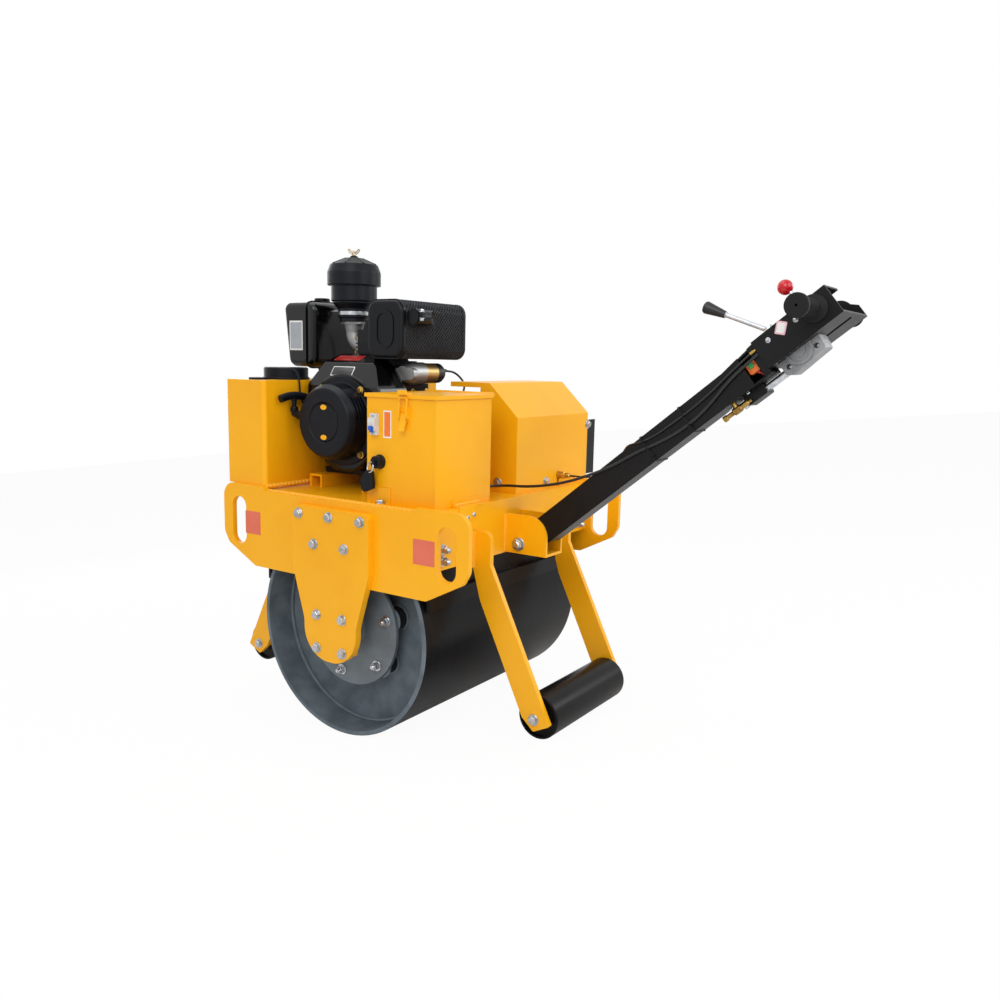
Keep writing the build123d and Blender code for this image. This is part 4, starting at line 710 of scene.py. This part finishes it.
class ROLLER_OT_engine_fittings(bpy.types.Operator):
    """Bolts, plates, pipes and filler of the engine"""
    bl_idname = "roller.engine_fittings"
    bl_label = "Engine fittings"

    def execute(self, context):
        across = context.scene.roller_sizes.engine_bolt / MM

        def round_crank(radius, angle, y):
            """Point at a radius and an angle round the crankshaft."""
            dx, dz = polar(radius, angle)
            return (CRANK[0] + dx, y, CRANK[1] + dz)

        rows = [(round_crank(93, angle, 195), LEFT, angle) for angle in (130, -130, 50, -45)]
        rows += [((x, 140, z), way, 9) for x, way in ((-14, AFT), (210, FORE)) for z in (660, 720)]
        rows += [((x, y, 738), way, 4) for x, way in ((26, AFT), (170, FORE)) for y in (-20, 30, 80)]
        rows += [((x, 52, 899), UP, 4) for x in (166, 214)]
        rows += [((161, y, z), FORE, 4) for z in (828, 862) for y in (28, 70)]
        rows += [(round_crank(50, 30 + 60 * i, -46), RIGHT, 4) for i in range(6)]
        rows += [((x, y, 903), UP, 6) for x, y in ((84, 20), (120, 20), (102, 68))]
        fasten("engine_bolts", hex_head(across, 5.5, 0, 0, across * 0.72), rows, "gold_zinc")

        rows = [((CRANK[0] + side * 81, y, 560), UP, 10 * side) for side in (-1, 1) for y in (12, 124)]
        fasten("foot_nuts", nut_on_stud(17, 8, 14, 5, 10), rows)

        for name, finish, width, depth, high, spot, slope in (
                ("cowl_badge_line", "white", 66, 25, 0.6, (117, 168, 784.5), (0, 54, 36)),
                ("cowl_badge", "badge", 62, 21, 1.0, (117, 168, 784.5), (0, 54, 36)),
                ("cowl_plate", "red_plate", 80, 26, 0.8, (128, 133, 813.9), (0, 21, 47))):
            fit(name, slab(width, depth, high, 2.0, 0.2), spot, slope, finish, spin=180)
        disc = lathe([(42, 0), (42, 2.0), (41.4, 2.6)], 64)
        fit("recoil_disc", disc, (CRANK[0], 246, CRANK[1]), LEFT, "nylon")
        oval = Matrix.Diagonal((1.55, 0.95, 1, 1))
        marks = [placed(lathe([(6.0, 0), (6.0, 0.3)], 24), facing((CRANK[0], 248.6, CRANK[1] + dz), LEFT) @ oval)
                 for dz in (-33, 33)]
        finished(joined("recoil_marks", marks), "powder_coat", "frame")

        filler = lathe([(15, 0), (15, 3), (17, 4), (17, 16), (15.5, 18), (6, 18), (5, 17)], 18)
        fit("oil_filler", filler, (26, -4, 700), AFT, "nylon")
        drain = lathe([(11, 0), (11, 2), (8, 2.4), (8, 9), (7, 10)], 6)
        fit("oil_drain", drain, (170, 60, 590), FORE, "gold_zinc")

        pipe, _ = line([(150, -18, 700), (178, -20, 704), (188, -22, 730), (186, -24, 790), (182, -22, 850),
                        (160, -14, 893), (126, -4, 902), (112, 2, 896)], 3)
        fittings = [placed(lathe([(7, 0), (8, 1), (8, 9), (6.5, 10), (5, 16)], 6), facing((149, -18, 699), FORE)),
                    placed(lathe([(9, 0), (9, 6), (7, 7), (7, 20), (5, 21)], 6), facing((110, 3, 880), UP))]
        finished(joined("injection_pipe", [pipe] + fittings), "zinc", "frame")

        hose, _ = line([(262, -60, 790), (262, -62, 778), (258, -58, 760), (246, -40, 744), (224, -30, 724),
                        (196, -26, 706), (172, -22, 696)], 4)
        finished(hose, "rubber", "frame").name = "fuel_hose"
        cock = lathe([(9, 0), (9, 4), (6, 5), (6, 12), (8, 13), (8, 18)], 20)
        fit("fuel_tap", cock, (262, -60, 791), DOWN, "brass")
        return {"FINISHED"}


class ROLLER_OT_filter_and_muffler(bpy.types.Operator):
    """Wing nut and clamp of the air filter, expanded sheet round the muffler, screws of its end"""
    bl_idname = "roller.filter_and_muffler"
    bl_label = "Filter and muffler"

    def execute(self, context):
        parts = [lathe([(5, 0), (5.5, 2), (4.6, 7), (3.4, 9), (3.4, 13), (2.6, 14)], 20)]
        for side in (1, -1):
            wing = [(side * x, 0, z) for x, z in ((3, 4), (8, 6), (14, 12), (16, 17), (12, 18), (8, 12), (3, 8))]
            parts.append(line(wing, 1.6)[0])
        wing_nut = joined("filter_wing_nut", parts)
        seat = Matrix.Translation((0.190, 0.052, 1.052)) @ Matrix.Rotation(0.5, 4, "Z") @ Matrix.Scale(0.88, 4)
        finished(placed(wing_nut, seat), "warm_zinc", "frame")
        band = lathe([(38.2, 0), (39.2, 0.4), (39.2, 8.6), (38.2, 9)], 48)
        screw = placed(slab(16, 9, 8, 2, 0.6), Matrix.Translation((-0.041, 0.006, 0.001)))
        clamp = joined("filter_clamp", [band, screw])
        finished(placed(clamp, facing((190, 52, 914), UP)), "zinc", "frame")
        self.sheet(context.scene.roller_sizes.mesh_cells)

        rows = [((x, y, 941.5), UP, 15) for x, y in ((3, 130), (3, 40), (3, -50))]
        fasten("muffler_screws", cross_screw(4.5, 3), rows)
        rows = [((-85, 136, 915), UP, 10), ((-85, 136, 903), DOWN, 25)]
        fasten("outlet_bolt", hex_head(8, 5, 6.5, 1.2), rows)
        return {"FINISHED"}

    def sheet(self, cells):
        """Diamond-holed sheet that wraps the muffler between its two rims."""
        near, far = 142.0, -66.0
        half, low, high, corner, proud = 49.0, 817.0, 941.0, 24.0, 1.4
        width, height = 2 * (half - corner), (high - low) - 2 * corner
        arc = math.pi / 2 * corner
        total = 2 * (width + height) + 4 * arc
        around = int(total / (near - far) * cells)

        def ring(distance):
            """Point of the muffler's outline at a distance round it."""
            x0, z0 = 3 - half, low
            runs = [(width, (x0 + corner, z0), (1, 0)), (arc, (x0 + 2 * half - corner, z0 + corner), -90),
                    (height, (x0 + 2 * half, z0 + corner), (0, 1)), (arc, (x0 + 2 * half - corner, high - corner), 0),
                    (width, (x0 + 2 * half - corner, high), (-1, 0)), (arc, (x0 + corner, high - corner), 90),
                    (height, (x0, high - corner), (0, -1)), (arc, (x0 + corner, z0 + corner), 180)]
            for length, origin, way in runs:
                if distance <= length + 1e-9:
                    if isinstance(way, tuple):
                        out = (way[1], -way[0])
                        return tuple(origin[i] + way[i] * distance + out[i] * proud for i in (0, 1))
                    dx, dz = polar(corner + proud, way + 90 * distance / length)
                    return (origin[0] + dx, origin[1] + dz)
                distance -= length
            return ring(0)

        clear()
        bpy.ops.mesh.primitive_grid_add(x_subdivisions=around, y_subdivisions=cells, size=1)
        sheet = bpy.context.object
        editing()
        bpy.ops.mesh.poke()
        bpy.ops.mesh.select_all(action="SELECT")
        bpy.ops.mesh.tris_convert_to_quads(face_threshold=3.14, shape_threshold=3.14)
        bpy.ops.object.mode_set(mode="OBJECT")
        for vertex in sheet.data.vertices:
            x, z = ring((vertex.co.x + 0.5) * total % total)
            vertex.co = (x * MM, (far + (vertex.co.y + 0.5) * (near - far)) * MM, z * MM)
        editing()
        bpy.ops.mesh.remove_doubles(threshold=0.0001)
        bpy.ops.object.mode_set(mode="OBJECT")
        wires = sheet.modifiers.new("holes", "WIREFRAME")
        wires.thickness = 1.5 * MM
        wires.use_replace = True
        bpy.ops.object.modifier_apply(modifier="holes")
        sheet.name = "muffler_sheet"
        finished(sheet, "mesh", "frame")


class ROLLER_OT_handle_fittings(bpy.types.Operator):
    """Screws, connector with its wires, and grips' ribs on the handle"""
    bl_idname = "roller.handle_fittings"
    bl_label = "Handle fittings"

    def execute(self, context):
        domes = [(arm(u, v, y), way, 20) for y, way in ((HEAD_NEAR, LEFT), (HEAD_FAR, RIGHT))
                 for u, v in ((739, 13), (680, 14.5))]
        fasten("head_screws", cap_nut(6.5, 5.5, 5), domes, body="handle")
        small = [(arm(u, v, 8), LEFT, 35) for u, v in ((676, -42), (736, -41))]
        small += [(arm(742, v, -16), LEFT, 10) for v in (-33, -46)]
        small += [(arm(u, -36, y), -ARM_UP, 5) for u, y in ((540, 5), (590, 24))]
        fasten("valve_screws", cross_screw(4.2, 3), small, body="handle")

        ribs = []
        for side, face in ((1, HEAD_NEAR), (-1, HEAD_FAR)):
            for index in range(13):
                at = face + side * (16 + 5.4 * index)
                rib = lathe([(15.8, -1.1), (17.4, -0.6), (17.4, 0.6), (15.8, 1.1)], 32)
                ribs.append(placed(rib, facing(arm(773.5, 8.6, at), LEFT)))
        finished(joined("grip_ribs", ribs), "rubber", "handle")

        plug = [placed(slab(21, 25, 12, 3, 1), facing(arm(626, -3, 22), LEFT, 39)),
                placed(slab(10, 9, 4, 1.5, 1), facing(arm(626, -1, 34), LEFT, 39))]
        finished(joined("arm_connector", plug[:1]), "orange", "handle")
        finished(joined("arm_connector_cap", plug[1:]), "green", "handle")
        wires = []
        for shift in (0, 5):
            points = [arm(u, v, y) for u, v, y in (
                (626 + shift, -8, 30), (627 + shift, -16, 34), (634, -24 - shift, 30), (640, -30, 20 - shift),
                (648, -32, 14))]
            wires.append(line(points, 1.5)[0])
        finished(joined("arm_wires", wires), "wire_red", "handle")
        return {"FINISHED"}


class ROLLER_OT_cables(bpy.types.Operator):
    """Wiring loom and control cable from the deck up the arm, with their ties"""
    bl_idname = "roller.cables"
    bl_label = "Cables"

    def execute(self, context):
        sizes = context.scene.roller_sizes
        loom = [(-195, 75, 540), (-199, 50, 540), (-218, 33, 542), (-252, 30, 545), (-294, 42, 548), (-345, 46, 555),
                (-402, 48, 568)]
        loom += [arm(u, v, HEAD_NEAR + out) for u, v, out in (
            (238, 22, 0), (290, 8, 1), (348, 1, 0), (400, -12, 1), (450, -19, 0), (500, -18, 1), (540, -10, 0),
            (572, -2, 1), (606, 3, 0), (651.7, 6, -0.5))]
        control = [(-248, -209, 545), (-288, -206, 546), (-330, -185, 549), (-372, -148, 560), (-412, -98, 577),
                   (-450, -56, 598)]
        control += [arm(u, v, y) for u, v, y in (
            (280, 27, -24), (310, 28, 6), (338, 25, 36), (364, 12, 48), (400, 4, 46), (440, 2, 48), (490, 1, 46),
            (540, 3, 48), (590, 10, 47), (640, 15, 46))]
        routes = (("wiring_loom", loom, sizes.loom), ("control_cable", control, sizes.control_cable))
        for name, route, diameter in routes:
            piece, centre = line(route, diameter / 2 / MM)
            piece.name = name
            made = dressed(piece, "cable", 60.0)
            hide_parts("handle_cables")
            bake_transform(made)

        ferrule = lathe([(8.7, 0), (8.7, 24), (6.5, 25), (6.5, 36), (3.4, 40), (2.6, 52)], 24)
        fit("cable_ferrule", ferrule, (-227, -209, 545), AFT, "gold_zinc")
        tip = lathe([(3, 0), (3, 8), (2.2, 9), (2.2, 12)], 20)
        fit("cable_tip", tip, arm(640, 15, 46), ARM_OUT, "gold_zinc", "handle")
        ties = []
        for u in (372, 470):
            loop, _ = line([arm(u, 21.6, y) for y in (-12, 16, 44.5)] + [arm(u, v2, 51.6) for v2 in (18, -8, -34)]
                           + [arm(u, -37.6, y) for y in (44.5, 16, -12)] + [arm(u, v2, -11.6) for v2 in (-34, -8, 18)],
                           0.9, "NURBS", 2, True)
            ties.append(loop)
            ties.append(placed(slab(5, 5, 3, 1, 0.5), facing(arm(u, -25, 51), LEFT, 39)))
        finished(joined("cable_ties", ties), "nylon", "handle")
        return {"FINISHED"}


# finish: the solids that wear it; the others are powder-coated
CAD_FINISH = {
    "drum": ("drum_shell",),
    "primer": ("isolator_disc_left", "isolator_disc_right"),
    "rubber": ("grip_left", "grip_right"),
    "mounts": ("rubber_mounts_left", "rubber_mounts_right"),
    "roller": ("rear_roller", "front_roller", "scraper_rear", "scraper_front"),
    "cast_black": ("crankcase", "cylinder"),
    "enamel": ("fan_cowl", "fuel_tank"),
    "pressed_black": ("muffler", "exhaust_outlet", "tank_strap", "belt_guard"),
    "nylon": ("recoil_starter", "pull_handle", "air_filter", "fuel_cap", "tank_cap", "battery", "key_switch"),
    "cast_metal": ("intake_elbow", "valve_housing", "hydraulic_pump"),
    "starter": ("starter_motor",),
    "black_coat": ("handle_arm", "handle_head", "hood_bracket"),
    "zinc": ("control_rods", "handle_pivot", "rear_axle", "front_axle"),
    "lever": ("speed_lever",),
    "throttle": ("throttle_lever",),
    "breaker": ("breaker",),
    "brass": ("drain_cock",),
    "cable": ("handle_cables",),
}


class ROLLER_OT_finishes(bpy.types.Operator):
    """Paints and metals of the solids"""
    bl_idname = "roller.finishes"
    bl_label = "Finishes"

    def execute(self, context):
        chosen = {name: finish for finish, names in CAD_FINISH.items() for name in names}
        unknown = sorted(set(chosen) - set(NODES))
        if unknown:
            raise RuntimeError(f"no solids named {unknown}")
        for name, solid in NODES.items():
            solid.data.materials.clear()
            solid.data.materials.append(finishes()[chosen.get(name, "powder_coat")])
        return {"FINISHED"}


class ROLLER_OT_stage(bpy.types.Operator):
    """Floor, lamps and camera"""
    bl_idname = "roller.stage"
    bl_label = "Stage"

    def execute(self, context):
        scene = context.scene
        clear()
        bpy.ops.mesh.primitive_plane_add(size=40)
        floor = bpy.context.object
        floor.name = "studio_floor"
        material, tree, out, place = blank("pale_floor")
        # matt white floor that is nearly white to the camera whatever falls on it
        pale = ramp(tree, noise(tree, place, 3.0), [(0.0, grey(0.9)), (1.0, grey(0.92))])
        matt = node(tree, "BsdfDiffuse", links={"Color": pale})
        light = node(tree, "Emission", {"Color": grey(1.0), "Strength": 1.0})
        ray = node(tree, "LightPath")
        share = node(tree, "Math", {"operation": "MULTIPLY", 1: 0.95}, {0: ray.outputs["Is Camera Ray"]})
        mixed = node(tree, "MixShader", links={"Fac": share.outputs["Value"]})
        tree.links.new(matt.outputs["BSDF"], mixed.inputs[1])
        tree.links.new(light.outputs["Emission"], mixed.inputs[2])
        tree.links.new(mixed.outputs["Shader"], out.inputs["Surface"])
        floor.data.materials.append(material)

        world = scene.world or bpy.data.worlds.new("studio")
        scene.world = world
        world.use_nodes = True
        tree = world.node_tree
        tree.nodes.clear()
        out = node(tree, "OutputWorld")
        ray = node(tree, "LightPath")
        seen = node(tree, "Math", {"operation": "MAXIMUM"},
                    {0: ray.outputs["Is Camera Ray"], 1: ray.outputs["Is Glossy Ray"]})
        soft = spread(tree, seen.outputs["Value"], 0.47, 1.0)
        sky = node(tree, "Background", {"Color": grey(1.0)}, {"Strength": soft})
        tree.links.new(sky.outputs["Background"], out.inputs["Surface"])

        lamps = (                                       # name, watts, size, spot, aimed at
            ("key_softbox", 58, 2.2, (-1.6, 3.0, 2.6), (0, 0, 0.5)),
            ("rear_softbox", 32, 2.0, (-3.2, 0.2, 1.8), (0, 0, 0.6)),
            ("far_side_softbox", 24, 1.2, (-2.9, -3.0, 1.7), (0, 0, 0.5)),
            ("top_softbox", 30, 2.4, (0.4, 0.4, 3.6), (0, 0, 0.5)),
            ("front_fill", 22, 2.0, (3.0, -1.2, 1.8), (0, 0, 0.5)),
        )
        for name, watts, size, spot, target in lamps:
            data = bpy.data.lights.new(name, "AREA")
            data.energy = watts
            data.size = size
            lamp = bpy.data.objects.new(name, data)
            scene.collection.objects.link(lamp)
            lamp.location = spot
            lamp.rotation_euler = (Vector(target) - Vector(spot)).to_track_quat("-Z", "Y").to_euler()

        data = bpy.data.cameras.new("camera")
        data.sensor_width = 36.0
        data.lens = 32.634
        data.clip_end = 60
        camera = bpy.data.objects.new("camera", data)
        scene.collection.objects.link(camera)
        yaw, pitch, roll = (math.radians(a) for a in (-56.0624, -8.8924, 1.2282))
        ahead = Vector((math.cos(yaw) * math.cos(pitch), math.sin(yaw) * math.cos(pitch), math.sin(pitch)))
        right = Vector((math.sin(yaw), -math.cos(yaw), 0))
        over = right.cross(ahead)
        right, over = right * math.cos(roll) + over * math.sin(roll), over * math.cos(roll) - right * math.sin(roll)
        axes = Matrix((right, over, -ahead)).transposed().to_4x4()
        camera.matrix_world = STANCE @ Matrix.Translation((-1.33552, 1.67969, 0.82121)) @ axes
        scene.camera = camera
        scene.view_settings.view_transform = "Standard"
        return {"FINISHED"}


class ROLLER_PT_panel(bpy.types.Panel):
    """Sizes, colours and the pieces in the order they are made"""
    bl_idname = "ROLLER_PT_panel"
    bl_label = "Walk-behind roller"
    bl_space_type = "VIEW_3D"
    bl_region_type = "UI"
    bl_category = "Roller"

    def draw(self, context):
        for group in (context.scene.roller_paint, context.scene.roller_sizes):
            for name in group.__annotations__:
                self.layout.prop(group, name)
        for maker in MAKERS:
            self.layout.operator(maker.bl_idname)


MAKERS = (ROLLER_OT_stage, ROLLER_OT_cables, ROLLER_OT_finishes, ROLLER_OT_frame_fasteners, ROLLER_OT_drum_fasteners,
          ROLLER_OT_welds, ROLLER_OT_plates, ROLLER_OT_box_fittings, ROLLER_OT_engine_fittings,
          ROLLER_OT_filter_and_muffler, ROLLER_OT_handle_fittings)
CLASSES = (RollerPaint, RollerSizes) + MAKERS + (ROLLER_PT_panel,)


def register():
    for kind in CLASSES:
        bpy.utils.register_class(kind)
    bpy.types.Scene.roller_paint = PointerProperty(type=RollerPaint)
    bpy.types.Scene.roller_sizes = PointerProperty(type=RollerSizes)


def unregister():
    del bpy.types.Scene.roller_sizes
    del bpy.types.Scene.roller_paint
    for kind in reversed(CLASSES):
        bpy.utils.unregister_class(kind)


def main():
    register()
    for maker in MAKERS:
        group, name = maker.bl_idname.split(".")
        getattr(getattr(bpy.ops, group), name)()


if __name__ == "__main__":
    main()
